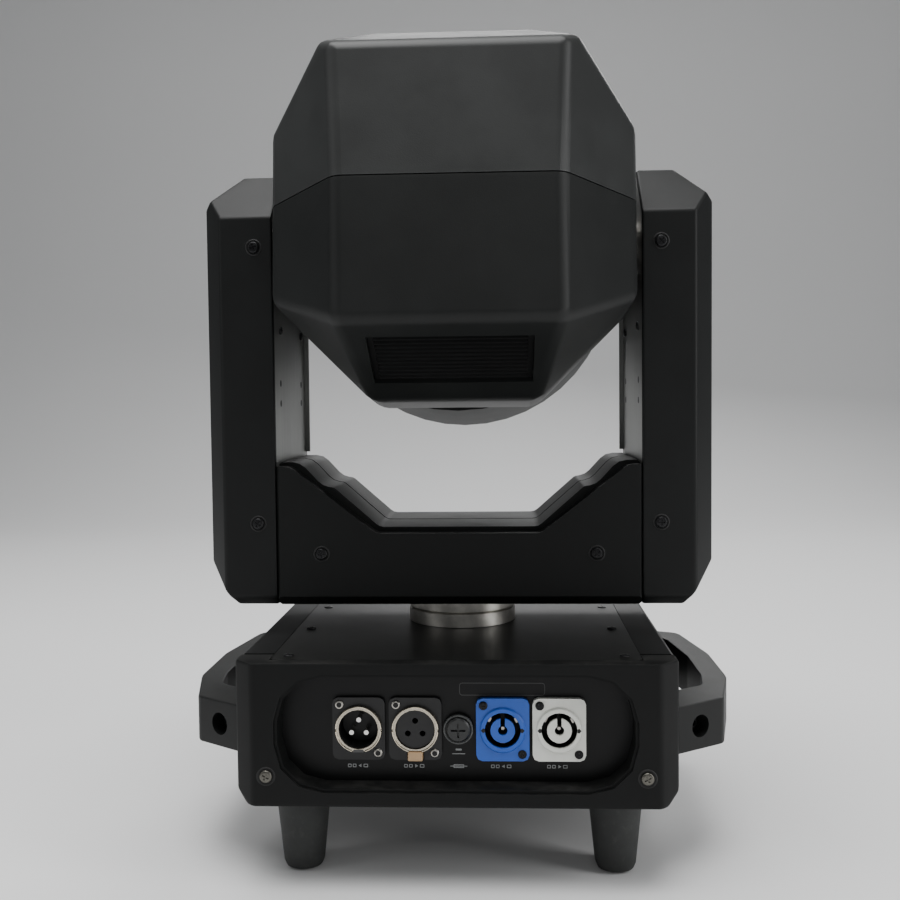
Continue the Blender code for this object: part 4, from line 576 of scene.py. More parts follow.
class Shape:
    # gathers forms in one mesh, each put down with its own matrix

    def __init__(self):
        self.bm = bmesh.new()

    def ring(self, points, place, z=0.0):
        return [self.bm.verts.new(place @ Vector((x, y, z))) for x, y in points]

    def bridge(self, lower, upper, flip=False):
        count = len(lower)
        for index in range(count):
            after = (index + 1) % count
            corners = [lower[index], lower[after], upper[after], upper[index]]
            self.bm.faces.new(corners[::-1] if flip else corners)

    def lathe(self, profile, place, segments=32):
        # revolve (radius, height) pairs about the local Z axis
        before = None
        for radius, height in profile:
            if radius <= 0:
                now = [self.bm.verts.new(place @ Vector((0, 0, height)))]
            else:
                now = self.ring(circle(radius, segments), place, height)
            if before and len(before) > 1 and len(now) > 1:
                self.bridge(before, now)
            elif before and len(before) != len(now):
                many, one = (before, now[0]) if len(before) > 1 else (now, before[0])
                for index in range(len(many)):
                    self.bm.faces.new((many[index], many[(index + 1) % len(many)], one))
            before = now

    def slab(self, outline, place, low, high, chamfer=0.0):
        # a prism on an outline, its top edge chamfered
        outline = list(outline)
        middle = Vector((sum(x for x, _ in outline), sum(y for _, y in outline))) / len(outline)
        inner = []
        for x, y in outline:
            way = Vector((x, y)) - middle
            shorter = way * max(0.0, 1 - chamfer / way.length) + middle
            inner.append((shorter.x, shorter.y))
        levels = [self.ring(outline, place, low), self.ring(outline, place, high - chamfer)]
        if chamfer:
            levels.append(self.ring(inner, place, high))
        for lower, upper in zip(levels, levels[1:]):
            self.bridge(lower, upper)
        self.bm.faces.new(levels[0][::-1])
        self.bm.faces.new(levels[-1])

    def frame(self, outer, inner, place, low, high):
        # a flat closed band between two outlines of equal count
        corners = ((outer, low), (outer, high), (inner, high), (inner, low))
        rings = [self.ring(points, place, z) for points, z in corners]
        for index in range(4):
            self.bridge(rings[index], rings[(index + 1) % 4])

    def screw(self, place, radius, height, drive="cross", depth=0.55, segments=28):
        # a rounded head with a sunk drive
        levels = ((1.0, 0.0), (1.0, 0.42), (0.95, 0.70), (0.84, 0.90), (0.68, 1.0))
        below = None
        for width, up in levels:
            now = self.ring(circle(radius * width, segments), place, height * up)
            if below:
                self.bridge(below, now)
            else:
                self.bm.faces.new(now[::-1])
            below = now
        if drive == "cross":
            arm, half = 0.56 * radius, 0.12 * radius
            quarter = [(arm, -half), (arm, half), (half, half)]
            turns = [Matrix.Rotation(index * math.pi / 2, 2) for index in range(4)]
            socket = [turn @ Vector(point) for turn in turns for point in quarter]
        else:
            socket = [Vector(p) for p in arcPoints(0.5 * radius, 0, math.tau * 5 / 6, 5)]
        mouth = self.ring(socket, place, height)
        floor = self.ring([point * 0.8 for point in socket], place, height * (1 - depth))
        rims = [self.edge(below, index) for index in range(segments)]
        rims += [self.edge(mouth, index) for index in range(len(mouth))]
        bmesh.ops.triangle_fill(self.bm, use_beauty=True, use_dissolve=False, edges=rims)
        self.bridge(mouth, floor, flip=True)
        self.bm.faces.new(floor)

    def edge(self, loop, index):
        ends = (loop[index], loop[(index + 1) % len(loop)])
        return self.bm.edges.get(ends) or self.bm.edges.new(ends)

    def tube(self, points, radius, sides=10, closed=False):
        # a round bar along a path
        points = [Vector(point) for point in points]
        rings = []
        count = len(points)
        for index, point in enumerate(points):
            after = points[(index + 1) % count] if closed else points[min(index + 1, count - 1)]
            before = points[index - 1] if closed or index else points[0]
            place = facing(point, after - before)
            rings.append(self.ring(circle(radius, sides), place))
        for index in range(count if closed else count - 1):
            self.bridge(rings[index], rings[(index + 1) % count])
        if not closed:
            self.bm.faces.new(rings[0][::-1])
            self.bm.faces.new(rings[-1])

    def make(self, name, finish, body, slotName):
        bmesh.ops.recalc_face_normals(self.bm, faces=self.bm.faces[:])
        mesh = bpy.data.meshes.new(name)
        self.bm.to_mesh(mesh)
        self.bm.free()
        mesh.shade_smooth()
        mesh.set_sharp_from_angle(angle=smoothing["sharp"])
        mesh.materials.append(finish.material)
        obj = bpy.data.objects.new(name, mesh)
        bpy.context.scene.collection.objects.link(obj)
        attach(obj, body)


print("fasteners")
coverScrew = {
    "radius": 0.0031, "height": 0.0014, "washer": 0.0044, "lip": 0.0004, "firstTurn": 0.3, "turnStep": 0.7,
}
outside = 0.3  # far enough out for a ray to start clear of the object
armScrewPlaces = {"x": 0.1075, "heights": (0.279, 0.1315)}
crossbarScrewPlaces = {"x": 0.0735, "z": 0.1150}


def coveredScrew(shape, rims, place, turn):
    # a head standing in a shallow counterbore ring
    shape.screw(place @ Matrix.Rotation(turn, 4, "Z"), coverScrew["radius"], coverScrew["height"])
    washer = coverScrew["washer"]
    profile = [(washer, -0.0003), (washer, 0.0001), (washer - coverScrew["lip"], 0.0003)]
    profile += [(coverScrew["radius"] + 0.0005, 0.0002), (coverScrew["radius"] + 0.0002, -0.0003)]
    rims.lathe(profile, place, 28)


def yokeScrews():
    heads, rims = Shape(), Shape()
    spin = coverScrew["firstTurn"]
    for way in (1, -1):
        for side, node in ((-1, "arm_cover_left"), (1, "arm_cover_right")):
            for z in armScrewPlaces["heights"]:
                start = (side * armScrewPlaces["x"], -way * outside, z)
                coveredScrew(heads, rims, seat(node, start, (0, way, 0)), spin)
                spin += coverScrew["turnStep"]
            node = "crossbar_cover_rear" if way > 0 else "crossbar_cover_front"
            start = (side * crossbarScrewPlaces["x"], -way * outside, crossbarScrewPlaces["z"])
            coveredScrew(heads, rims, seat(node, start, (0, way, 0)), spin)
            spin += coverScrew["turnStep"]
    heads.make("yokeScrews", screwBlack, "yoke", "bare_steel")
    # the counterbore rings take the near-black painted shade of hollows
    rims.make("yokeScrewRims", paintedHoleShade, "yoke", "cover_plastic")


yokeScrews()

baseScrew = {"x": 0.092, "z": 0.0155, "radius": 0.0031, "height": 0.0012, "counterbore": 0.0047, "turn": 0.5}


def baseCoverScrews():
    heads, cups = Shape(), Shape()
    for way, node in ((1, "base_rear_cover"), (-1, "base_front_cover")):
        for side in (-1, 1):
            start = (side * baseScrew["x"], -way * outside, baseScrew["z"])
            place = seat(node, start, (0, way, 0))
            turned = place @ Matrix.Rotation(baseScrew["turn"] * side, 4, "Z")
            heads.screw(turned, baseScrew["radius"], baseScrew["height"])
            rim = baseScrew["counterbore"]
            profile = [(rim, -0.0003), (rim, 0.0001), (rim - 0.0003, 0.0003), (rim - 0.0007, 0.00025)]
            profile += [(rim - 0.0010, 0.00005), (0, 0.00005)]
            cups.lathe(profile, place, 32)
    heads.make("baseCoverScrews", screwZinc, "base", "bare_steel")
    # the counterbore cups take the same near-black used as painted shade in hollows
    cups.make("baseCoverCounterbores", paintedHoleShade, "base", "cover_plastic")


baseCoverScrews()

topScrew = {
    "x": 0.083, "rows": (-0.094, -0.030, 0.030, 0.094), "above": 0.080, "radius": 0.0026, "height": 0.0007,
}


def topPlateScrews():
    heads = Shape()
    for side in (-1, 1):
        for row, y in enumerate(topScrew["rows"]):
            start = (side * topScrew["x"], y, topScrew["above"])
            place = seat("base_top_plate", start, (0, 0, -1), 0.4 * row + side)
            heads.screw(place, topScrew["radius"], topScrew["height"])
    heads.make("topPlateScrews", screwBlack, "base", "bare_steel")


topPlateScrews()

flangeScrew = {"x": 0.0095, "z": 0.0120, "radius": 0.00215, "height": 0.0009, "drive": 0.7, "eye": 0.62}
signalPlaces = {"xlr_input_shell": connectorRow["pinInput"], "xlr_output_shell": connectorRow["holeOutput"]}
powerPlaces = {"power_inlet": connectorRow["powerIn"], "power_outlet": connectorRow["powerOut"]}


def connectorScrews():
    # two on each flange, upper left and lower right
    pale, dark, eyes = Shape(), Shape(), Shape()
    top = flangeScrew["height"] + 0.00002
    for node, x in (signalPlaces | powerPlaces).items():
        for side in (-1, 1):
            start = (x + side * flangeScrew["x"], -outside, connectorRow["z"] - side * flangeScrew["z"])
            place = seat(node, start, (0, 1, 0), 0.6 * side + x * 20)
            shape = pale if node in signalPlaces else dark
            shape.screw(place, flangeScrew["radius"], flangeScrew["height"], depth=flangeScrew["drive"])
            if node in signalPlaces:
                # a near-black disc over each screw's drive: painted shade down in the socket
                eyes.lathe([(flangeScrew["radius"] * flangeScrew["eye"], top), (0, top + 0.00001)], place, 20)
    pale.make("signalFlangeScrews", screwSteel, "base", "bare_steel")
    dark.make("powerFlangeScrews", screwBlack, "base", "bare_steel")
    eyes.make("signalScrewSockets", paintedHoleShade, "base", "moulded_black")


connectorScrews()

platePlaces = {
    "holes": (0.196, 0.207), "screws": 0.236, "y": (-0.030, 0.030), "gap": 0.02,
    "radius": 0.0024, "height": 0.0013, "hole": 0.0018,
}


def armPlateScrews():
    # screws and tapped holes along the bare inner faces of the arms
    heads, holes = Shape(), Shape()
    for side, node in ((-1, "arm_plate_left"), (1, "arm_plate_right")):
        for y in platePlaces["y"]:
            for index, z in enumerate(platePlaces["holes"]):
                place = seat(node, (side * platePlaces["gap"], y, z), (side, 0, 0), 0.8 * index)
                hole = platePlaces["hole"]
                profile = [(hole, 0.0), (hole, 0.00012), (hole * 0.8, 0.00016), (0, 0.00004)]
                # the tapped holes are near-black discs: painted shade in the holes
                holes.lathe(profile, place, 18)
            place = seat(node, (side * platePlaces["gap"], y, platePlaces["screws"]), (side, 0, 0), 1.6)
            heads.screw(place, platePlaces["radius"], platePlaces["height"])
    heads.make("armPlateScrews", screwBlack, "yoke", "bare_steel")
    holes.make("armPlateHoles", paintedHoleShade, "yoke", "bare_steel")


armPlateScrews()

handleBolt = {
    "x": 0.1224, "y": -0.0785, "z": 0.032, "lean": (0.57, 0.82), "back": 0.04,
    "radius": 0.0040, "height": 0.0030,
}


def handleBolts():
    # socket-head bolts at the bottom of the handles' rear recesses
    heads = Shape()
    for side, node in ((-1, "handle_left"), (1, "handle_right")):
        middle = Vector((side * handleBolt["x"], handleBolt["y"], handleBolt["z"]))
        inward, along = handleBolt["lean"]
        way = Vector((-side * inward, along, 0)).normalized()
        place = seat(node, middle - way * handleBolt["back"], way)
        heads.screw(place, handleBolt["radius"], handleBolt["height"], "hex", 0.7)
    heads.make("handleBolts", screwBlack, "base", "bare_steel")


handleBolts()

bezelScrew = {"ring": 0.0895, "face": 0.0950, "count": 6, "radius": 0.0019, "height": 0.0008}


def bezelScrews():
    heads = Shape()
    for index in range(bezelScrew["count"]):
        turn = math.tau * (index + 0.5) / bezelScrew["count"]
        x, z = bezelScrew["ring"] * math.cos(turn), bezelScrew["ring"] * math.sin(turn)
        place = headSpace @ facing((x, bezelScrew["face"], z), (0, 1, 0), turn)
        heads.screw(place, bezelScrew["radius"], bezelScrew["height"])
    heads.make("bezelScrews", screwBlack, "head", "bare_steel")


bezelScrews()


print("connector side")
captionMark = {
    "drop": 0.0192, "height": 0.0017, "line": 0.00035, "proud": 0.00015,
    "boxes": ((-0.0050, 0.0018), (-0.0026, 0.0018), (0.0030, 0.0022)),  # place and width of each
    "arrowBack": -0.0006, "arrowTip": 0.0008, "arrowX": 0.0002,
}
fuseMark = {
    "body": 0.0052, "window": 0.0045, "wire": 0.0085,
    "upperDrop": 0.0130, "bar": 0.0064, "dash": (0.0030, 0.0009), "dashUp": 0.0021,
}


def nodeFront(node):
    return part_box(node)[0].y


def panelPlace(x, drop):
    # on the panel's face, that far below the connectors' centre line
    return facing((x, nodeFront("connector_panel"), connectorRow["z"] - drop), (0, -1, 0))


def captionMarks():
    # plain symbols printed under the connectors: boxes with an arrow in or out
    ink = Shape()
    high, line, proud = captionMark["height"], captionMark["line"], captionMark["proud"]
    back = captionMark["arrowBack"]
    tip = [(back, high / 2), (back, -high / 2), (captionMark["arrowTip"], 0)]
    for kind, way in (("pinInput", -1), ("holeOutput", 1), ("powerIn", -1), ("powerOut", 1)):
        place = panelPlace(connectorRow[kind], captionMark["drop"])
        for left, width in captionMark["boxes"]:
            outline = roundedRectangle(width, high, line * 0.9, 2)
            hollow = roundedRectangle(width - 2 * line, high - 2 * line, line * 0.4, 2)
            ink.frame(outline, hollow, place @ Matrix.Translation((left, 0, 0)), 0, proud)
        arrow = [(x * way, y * way) for x, y in tip]
        ink.slab(arrow, place @ Matrix.Translation((captionMark["arrowX"], 0, 0)), 0, proud)
    fuseSymbol(ink, high, line, proud)
    ink.make("captionMarks", inkPale, "base", "white_plastic")


def fuseSymbol(ink, high, line, proud):
    # a fuse drawn as a box on a wire, with a bar and a dash above it
    place = panelPlace(connectorRow["fuse"], captionMark["drop"])
    outline = roundedRectangle(fuseMark["body"], high, 0.0002, 2)
    hollow = roundedRectangle(fuseMark["window"], high - 2 * line, 0.0001, 2)
    ink.frame(outline, hollow, place, 0, proud)
    ink.slab(roundedRectangle(fuseMark["wire"], line, line * 0.45, 2), place, 0, proud)
    upper = panelPlace(connectorRow["fuse"], fuseMark["upperDrop"])
    ink.slab(roundedRectangle(fuseMark["bar"], line, line * 0.45, 2), upper, 0, proud)
    raised = upper @ Matrix.Translation((0, fuseMark["dashUp"], 0))
    ink.slab(roundedRectangle(*fuseMark["dash"], 0.0003, 2), raised, 0, proud)


captionMarks()

labelPlate = {
    "x": 0.0228, "above": 0.0193, "width": 0.0420, "height": 0.0062, "line": 0.0002, "proud": 0.00008,
}


def ratingLabel():
    # the thin outline of a blank rating label
    line = Shape()
    place = panelPlace(labelPlate["x"], -labelPlate["above"])
    outer = roundedRectangle(labelPlate["width"], labelPlate["height"], 0.0014, 4)
    thin = labelPlate["line"] * 2
    inner = roundedRectangle(labelPlate["width"] - thin, labelPlate["height"] - thin, 0.0012, 4)
    line.frame(outer, inner, place, 0, labelPlate["proud"])
    line.make("labelOutline", inkDim, "base", "black_sheet")


ratingLabel()

tubeRim = {
    "radius": 0.0111, "thick": 0.00055, "proud": 0.0001, "gapHalf": math.radians(17),
    "bright": (0.70, 0.64, 0.53, 1.0), "dull": (0.55, 0.49, 0.39, 1.0), "tone": 300,
}


def plugRims():
    # a rolled champagne lip round each signal connector, open at the bottom for the key
    metal = Finish("champagneRim", (0.66, 0.60, 0.49), 0.2, 1.0)
    tone = metal.noise(tubeRim["tone"], 3)
    metal.set("Base Color", metal.mix(tone, tubeRim["bright"], tubeRim["dull"]))
    metal.set("Roughness", tone * 0.12 + 0.16)
    lips = Shape()
    start, end = -math.pi / 2 + tubeRim["gapHalf"], 1.5 * math.pi - tubeRim["gapHalf"]
    for node, x in signalPlaces.items():
        y = nodeFront(node) + tubeRim["proud"]
        arc = arcPoints(tubeRim["radius"], start, end, 48, x, connectorRow["z"])
        lips.tube([(px, y, pz) for px, pz in arc], tubeRim["thick"], 10)
    lips.make("signalConnectorRims", metal, "base", "connector_shell")


plugRims()

keyNotch = {"width": 0.0052, "height": 0.0013, "drop": 0.0106}


def inputKeyNotch():
    # the latch notch at the bottom of the pin connector's tube
    notch = Shape()
    at = (connectorRow["pinInput"], nodeFront("xlr_input_shell"), connectorRow["z"] - keyNotch["drop"])
    outline = roundedRectangle(keyNotch["width"], keyNotch["height"], 0.0004, 3)
    notch.slab(outline, facing(at, (0, -1, 0)), -0.0006, 0.0003, 0.0001)
    notch.make("inputLatchNotch", notchGrey, "base", "connector_shell")


inputKeyNotch()

contactRing = {
    "notchX": 0.0096,
    "notch": ((0.0, 0.0012), (-0.0011, 0.0), (0.0, -0.0012), (0.0009, -0.0008), (0.0009, 0.0008)),
    "radius": 0.0074, "turns": (0.5, 2.6, 4.7), "sunk": 0.0085, "blade": (0.0011, 0.0028),
    "pinSunk": 0.0075, "pin": ((0.0011, -0.0005), (0.0011, 0.0030), (0.0008, 0.0034), (0, 0.0034)),
}


def powerNotches():
    # the locking notches at the sides of each power connector's ring, and the contacts in it
    dark, metal = Shape(), Shape()
    ring, z = contactRing["radius"], connectorRow["z"]
    for node, x in powerPlaces.items():
        y = nodeFront(node)
        for side in (-1, 1):
            place = facing((x + side * contactRing["notchX"], y, z), (0, -1, 0))
            mirrored = [(px * -side, py) for px, py in contactRing["notch"]]
            # near-black inlays for the notches: painted shade in the recesses
            dark.slab(mirrored[::side], place, -0.0003, 0.00008)
        for turn in contactRing["turns"]:
            at = (x + ring * math.cos(turn), y + contactRing["sunk"], z + ring * math.sin(turn))
            blade = roundedRectangle(*contactRing["blade"], 0.0003, 2)
            metal.slab(blade, facing(at, (0, -1, 0), turn), -0.001, 0.003, 0.0002)
        metal.lathe(contactRing["pin"], facing((x, y + contactRing["pinSunk"], z), (0, -1, 0)), 16)
    dark.make("powerLockNotches", paintedHoleShade, "base", "moulded_black")
    metal.make("powerContacts", screwSteel, "base", "bare_steel")


powerNotches()

fuseRim = {"radius": 0.0069, "thick": 0.00042, "steps": 36}


def fuseLip():
    # a round bead on the holder's rim
    lip = Shape()
    y = nodeFront("fuse_holder")
    points = circle(fuseRim["radius"], fuseRim["steps"])
    path = [(connectorRow["fuse"] + px, y, connectorRow["z"] + pz) for px, pz in points]
    lip.tube(path, fuseRim["thick"], 8, True)
    lip.make("fuseHolderLip", lipGrey, "base", "moulded_black")


fuseLip()


print("display side")
screenFrame = {"band": 0.0014, "gap": 0.0014, "proud": 0.0006, "outerCorner": 0.0026, "innerCorner": 0.0014}


def panelSpot(node, turn=0.0):
    # on the display panel's face, over the middle of a node
    low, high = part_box(node)
    middle = (low + high) / 2
    return facing((middle.x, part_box("display_panel")[1].y, middle.z), (0, 1, 0), turn)


def displayTrim():
    # a raised band round the screen
    trim = Shape()
    low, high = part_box("display_screen")
    width, height = high.x - low.x + screenFrame["gap"], high.z - low.z + screenFrame["gap"]
    band = 2 * screenFrame["band"]
    outer = roundedRectangle(width + band, height + band, screenFrame["outerCorner"], 4)
    inner = roundedRectangle(width, height, screenFrame["innerCorner"], 4)
    trim.frame(outer, inner, panelSpot("display_screen"), 0, screenFrame["proud"])
    trim.make("screenFrame", bezelBlack, "base", "moulded_black")


displayTrim()

menuPage = {
    "rows": 4, "side": 0.004, "top": 0.005, "pitch": 0.0054, "line": 0.0016, "proud": 0.00006,
    "title": 0.044, "shortest": 0.020, "longer": 0.006, "value": 0.009,
    "dim": (0.10, 0.42, 0.62, 1.0), "bright": (0.14, 0.52, 0.72, 1.0), "strength": 0.5,
}


def menuGlow():
    # a plain menu page behind the glass: a title bar and unlabelled rows
    glow = Finish("screenGlow", (0.02, 0.06, 0.09), 0.3)
    tone = glow.noise(200, 2)
    glow.set("Emission Color", glow.mix(tone, menuPage["dim"], menuPage["bright"]))
    glow.set("Emission Strength", menuPage["strength"])
    page = Shape()
    low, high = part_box("display_screen")
    start, top = high.x - menuPage["side"], high.z - menuPage["top"]
    menuBar(page, start - menuPage["title"] / 2, high.y, top, menuPage["title"])
    for row in range(1, menuPage["rows"] + 1):
        z = top - row * menuPage["pitch"]
        length = menuPage["shortest"] + menuPage["longer"] * (row * 2 % 3)
        menuBar(page, start - length / 2, high.y, z, length)
        menuBar(page, low.x + menuPage["value"], high.y, z, menuPage["value"])
    page.make("menuPage", glow, "base", "screen_glass")


def menuBar(page, x, y, z, length):
    bar = roundedRectangle(length, menuPage["line"], 0.0005, 2)
    page.slab(bar, facing((x, y, z), (0, 1, 0)), 0, menuPage["proud"])


menuGlow()

buttonMark = {"size": 0.0016, "proud": 0.00012, "ring": 0.0052, "ringHeight": 0.0005}


def buttonMarks():
    # an arrow on each key, each pointing its own way, and a raised ring round it
    rings = Shape()
    size, wide, high = buttonMark["size"], buttonMark["ring"], buttonMark["ringHeight"]
    arrow = [(size, 0), (-size * 0.7, size), (-size * 0.3, 0), (-size * 0.7, -size)]
    ringProfile = [(wide + 0.0008, 0), (wide + 0.0006, high), (wide, high), (wide - 0.0003, 0)]
    for number, turn in enumerate((math.pi / 2, -math.pi / 2, math.pi, 0), 1):
        node = "menu_button_" + str(number)
        place = panelSpot(node, turn)
        place.translation.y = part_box(node)[1].y
        mark = Shape()
        mark.slab(arrow, place, 0, buttonMark["proud"])
        mark.make("buttonMark" + str(number), inkPale, node, "button_plastic")
        rings.lathe(ringProfile, panelSpot(node), 28)
    rings.make("buttonSurrounds", bezelBlack, "base", "moulded_black")


buttonMarks()


print("head")
lensGrid = {"pitch": 0.033, "rows": 5, "radius": 0.0147, "collarY": 0.0840, "domeY": 0.0880}


def lensCentres():
    # a hexagon of lenses: five in the middle row, one less in each row away from it
    middle = lensGrid["rows"] // 2
    for row in range(-middle, middle + 1):
        count = lensGrid["rows"] - abs(row)
        for index in range(count):
            x = (index - (count - 1) / 2) * lensGrid["pitch"]
            yield x, row * lensGrid["pitch"] * math.sqrt(3) / 2


def lensCollars():
    # a bevelled dark ring round each lens
    collars = Shape()
    inside = lensGrid["radius"] - 0.0002
    profile = [(inside + 0.0010, -0.0004), (inside + 0.0010, 0.0006), (inside + 0.0006, 0.0010)]
    profile += [(inside + 0.0001, 0.0006), (inside, -0.0004)]
    for x, z in lensCentres():
        place = headSpace @ facing((x, lensGrid["collarY"], z), (0, 1, 0))
        collars.lathe(profile, place, 36)
    collars.make("lensCollars", bezelBlack, "head", "moulded_black")


lensCollars()

lensDome = {"radius": 0.0098, "step": 0.0005, "rise": 0.00176, "inner": 0.0060, "rings": 6}


def lensDomes():
    # a pressed dome and step on each optic's face
    domes = Shape()
    wide, inner, step = lensDome["radius"], lensDome["inner"], lensDome["step"]
    profile = [(wide, -0.0002), (wide, 0.0003), (inner + 0.0006, step)]
    for index in range(lensDome["rings"]):
        turn = index / lensDome["rings"] * math.pi / 2
        profile.append((inner * math.cos(turn), step + lensDome["rise"] * math.sin(turn)))
    profile.append((0, step + lensDome["rise"]))
    for x, z in lensCentres():
        place = headSpace @ facing((x, lensGrid["domeY"], z), (0, 1, 0))
        domes.lathe(profile, place, 30)
    domes.make("lensDomes", lensClear, "head", "lens_glass")


lensDomes()

filterSheet = {
    "width": 0.084, "length": 0.046, "thick": 0.0012, "depth": 0.0098,
    "rearY": -0.127, "chinZ": -0.062, "slope": math.radians(25.3), "along": 0.034,
}


def airFilter():
    # dark foam behind the louvres
    sheet = Shape()
    across, up = math.cos(filterSheet["slope"]), math.sin(filterSheet["slope"])
    reach = filterSheet["along"]
    centre = Vector((0, filterSheet["rearY"] + reach * across, filterSheet["chinZ"] - reach * up))
    outwards = Vector((0, -up, -across))
    place = headSpace @ facing(centre - outwards * filterSheet["depth"], outwards)
    outline = roundedRectangle(filterSheet["width"], filterSheet["length"], 0.003, 3)
    sheet.slab(outline, place, 0, filterSheet["thick"])
    sheet.make("airFilter", foamBlack, "head", "black_rubber")


airFilter()

sideSlot = {
    "y": -0.098, "z": -0.040, "aim": (0.30, 0.10), "back": 0.02, "turn": 0.6,
    "length": 0.0085, "width": 0.0016,
}


def headSideSlots():
    # short drain slots low on each side facet
    slots = Shape()
    outline = roundedRectangle(sideSlot["length"], sideSlot["width"], 0.0007, 4)
    for side in (-1, 1):
        start = headSpace @ Vector((side * outside, sideSlot["y"], sideSlot["z"]))
        way = headSpace.to_3x3() @ Vector((-side, *sideSlot["aim"]))
        begin = start - way.normalized() * sideSlot["back"]
        place = seat("head_cover_lower", begin, way, sideSlot["turn"] * side)
        # near-black slabs for the slots: painted shade inside them
        slots.slab(outline, place, -0.0002, 0.00012)
    slots.make("headSideSlots", paintedHoleShade, "head", "cover_plastic")


headSideSlots()


print("underside")
bracketSocket = {"x": 0.053, "y": 0.053, "plate": 0.0115, "slot": (0.0105, 0.0042), "mouth": 0.0066}
safetyEye = {"y": 0.062, "z": 0.001, "radius": 0.007, "bar": 0.0016, "steps": 12}


def bracketSockets():
    # quarter-turn sockets for clamp brackets, and the eye for a safety cable
    plates, slots = Shape(), Shape()
    radius, mouth = bracketSocket["plate"], bracketSocket["mouth"]
    profile = [(radius, -0.0002), (radius, 0.0007), (radius - 0.0004, 0.0011)]
    profile += [(mouth, 0.0011), (mouth - 0.0008, 0.0003), (0, 0.0003)]
    for sideX in (-1, 1):
        for sideY in (-1, 1):
            place = facing((sideX * bracketSocket["x"], sideY * bracketSocket["y"], 0), (0, 0, -1))
            plates.lathe(profile, place, 36)
            # near-black slabs for the socket slots: painted shade inside them
            slots.slab(roundedRectangle(*bracketSocket["slot"], 0.0020, 4), place, 0.0003, 0.00045)
    arc = arcPoints(safetyEye["radius"], 0, -math.pi, safetyEye["steps"], safetyEye["y"], safetyEye["z"])
    plates.tube([(0.0, y, z) for y, z in arc], safetyEye["bar"], 10)
    plates.make("bracketSockets", screwSteel, "base", "bare_steel")
    slots.make("bracketSocketSlots", paintedHoleShade, "base", "bare_steel")


bracketSockets()

footCup = {"radius": 0.0042, "height": 0.00006}


def footScrews():
    # the screw's cup in the middle of each foot's face
    cups = Shape()
    radius, height = footCup["radius"], footCup["height"]
    profile = [(radius, -0.0003), (radius, 0.00005), (radius - 0.0003, 0.0001), (0.0010, height), (0, height)]
    for end in ("rear", "front"):
        for side in ("left", "right"):
            low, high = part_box("foot_" + end + "_" + side)
            middle = (low + high) / 2
            cups.lathe(profile, facing((middle.x, middle.y, low.z), (0, 0, -1)), 24)
    # the cups are near black: painted shade in each screw recess
    cups.make("footScrewCups", paintedHoleShade, "base", "black_rubber")


footScrews()


print("stage")
floorSize = {
    "half": 4.0, "nearY": -5.0, "backY": 2.6, "curve": 1.2, "height": 4.5, "steps": 12, "below": 0.0002,
}
paperLook = {"tone": 1.5, "dim": (0.80, 0.80, 0.80, 1.0), "pale": (0.84, 0.84, 0.84, 1.0)}


def sweptFloor():
    # a floor that curves up into a backdrop
    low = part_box("foot_rear_left")[0].z - floorSize["below"]
    bend, backY = floorSize["curve"], floorSize["backY"]
    section = [(floorSize["nearY"], low)]
    section += arcPoints(bend, -math.pi / 2, 0, floorSize["steps"], backY - bend, low + bend)
    section.append((backY, floorSize["height"]))
    bm = bmesh.new()
    rows = [[bm.verts.new((x, y, z)) for y, z in section] for x in (-floorSize["half"], floorSize["half"])]
    for index in range(len(section) - 1):
        bm.faces.new((rows[0][index], rows[1][index], rows[1][index + 1], rows[0][index + 1]))
    mesh = bpy.data.meshes.new("floor")
    bm.to_mesh(mesh)
    bm.free()
    mesh.shade_smooth()
    paper = Finish("paleFloor", (0.82, 0.82, 0.82), 0.75)
    tone = paper.noise(paperLook["tone"], 2)
    paper.set("Base Color", paper.mix(tone, paperLook["dim"], paperLook["pale"]))
    mesh.materials.append(paper.material)
    obj = bpy.data.objects.new("floor", mesh)
    bpy.context.scene.collection.objects.link(obj)


sweptFloor()

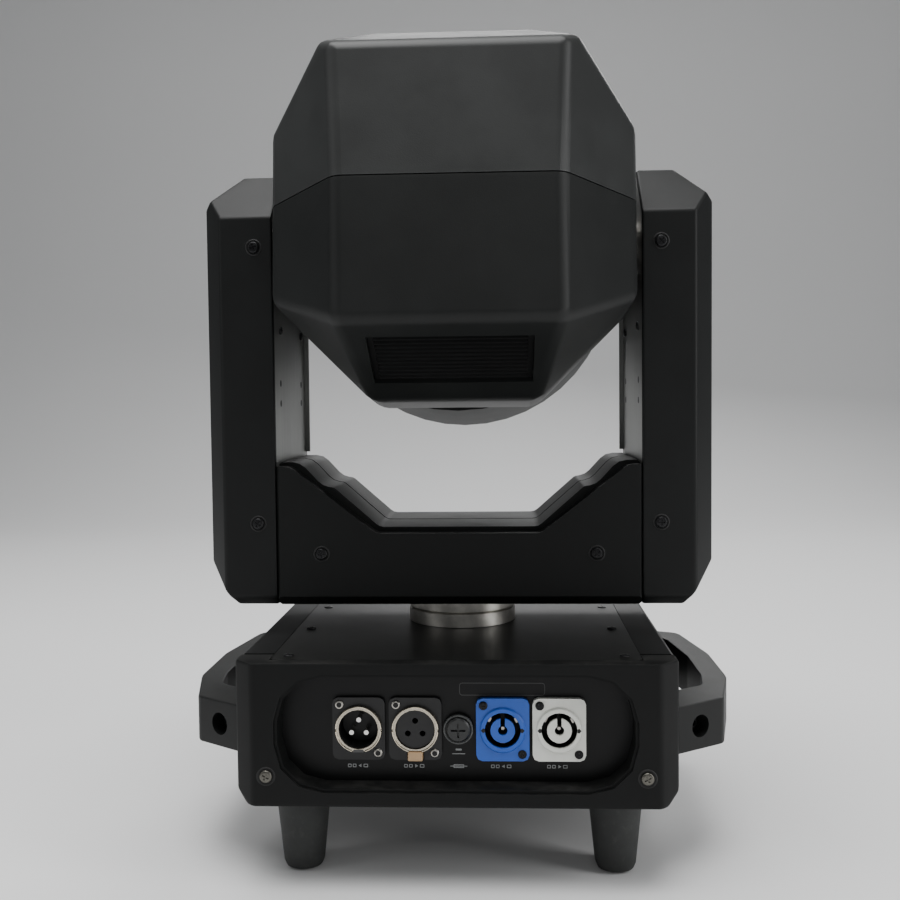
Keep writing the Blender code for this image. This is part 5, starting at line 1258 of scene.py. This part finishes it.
lamps = {
    "overhead": {"at": (-0.15, -0.25, 1.55), "aim": (0, 0, 0.2), "size": (1.3, 1.1), "power": 32},
    "left": {"at": (-1.35, -0.75, 0.75), "aim": (0, 0, 0.2), "size": (0.5, 1.3), "power": 3},
    "right": {"at": (1.35, -0.55, 0.65), "aim": (0, 0, 0.2), "size": (0.45, 1.3), "power": 11},
    "front": {"at": (0.1, -2.2, 1.1), "aim": (0, 0, 0.15), "size": (1.2, 0.8), "power": 3},
    "behind": {"at": (0.3, 1.6, 1.2), "aim": (0, 0, 0.2), "size": (1.2, 0.8), "power": 14},
}


def addLamps():
    for name, facts in lamps.items():
        light = bpy.data.lights.new(name + "Softbox", "AREA")
        light.shape = "RECTANGLE"
        light.size, light.size_y = facts["size"]
        light.energy = facts["power"]
        obj = bpy.data.objects.new(name + "Softbox", light)
        obj.location = facts["at"]
        obj.rotation_euler = (Vector(facts["aim"]) - obj.location).to_track_quat("-Z", "Y").to_euler()
        bpy.context.scene.collection.objects.link(obj)


addLamps()

roomLight = {"colour": (0.90, 0.93, 0.96, 1.0), "strength": 0.13}


def addRoom():
    world = bpy.data.worlds.new("studio")
    world.use_nodes = True
    sky = world.node_tree.nodes["Background"]
    sky.inputs["Color"].default_value = roomLight["colour"]
    sky.inputs["Strength"].default_value = roomLight["strength"]
    bpy.context.scene.world = world


addRoom()

view = {
    "at": (0.0243, -0.6241, 0.1975), "down": 2.686, "left": 2.807, "roll": -0.579,  # metres and degrees
    "lens": 43.45, "sensor": 36, "near": 0.01,  # the first two in millimetres
}


def addCamera():
    camera = bpy.data.cameras.new("studioCamera")
    camera.lens = view["lens"]
    camera.sensor_width = view["sensor"]
    camera.clip_start = view["near"]
    camera.dof.use_dof = False
    obj = bpy.data.objects.new("studioCamera", camera)
    heading = Matrix.Rotation(math.radians(view["left"]), 4, "Z")
    pitch = Matrix.Rotation(math.radians(90 - view["down"]), 4, "X")
    roll = Matrix.Rotation(math.radians(view["roll"]), 4, "Z")
    obj.matrix_world = Matrix.Translation(view["at"]) @ heading @ pitch @ roll
    bpy.context.scene.collection.objects.link(obj)
    bpy.context.scene.camera = obj


addCamera()

print("done")
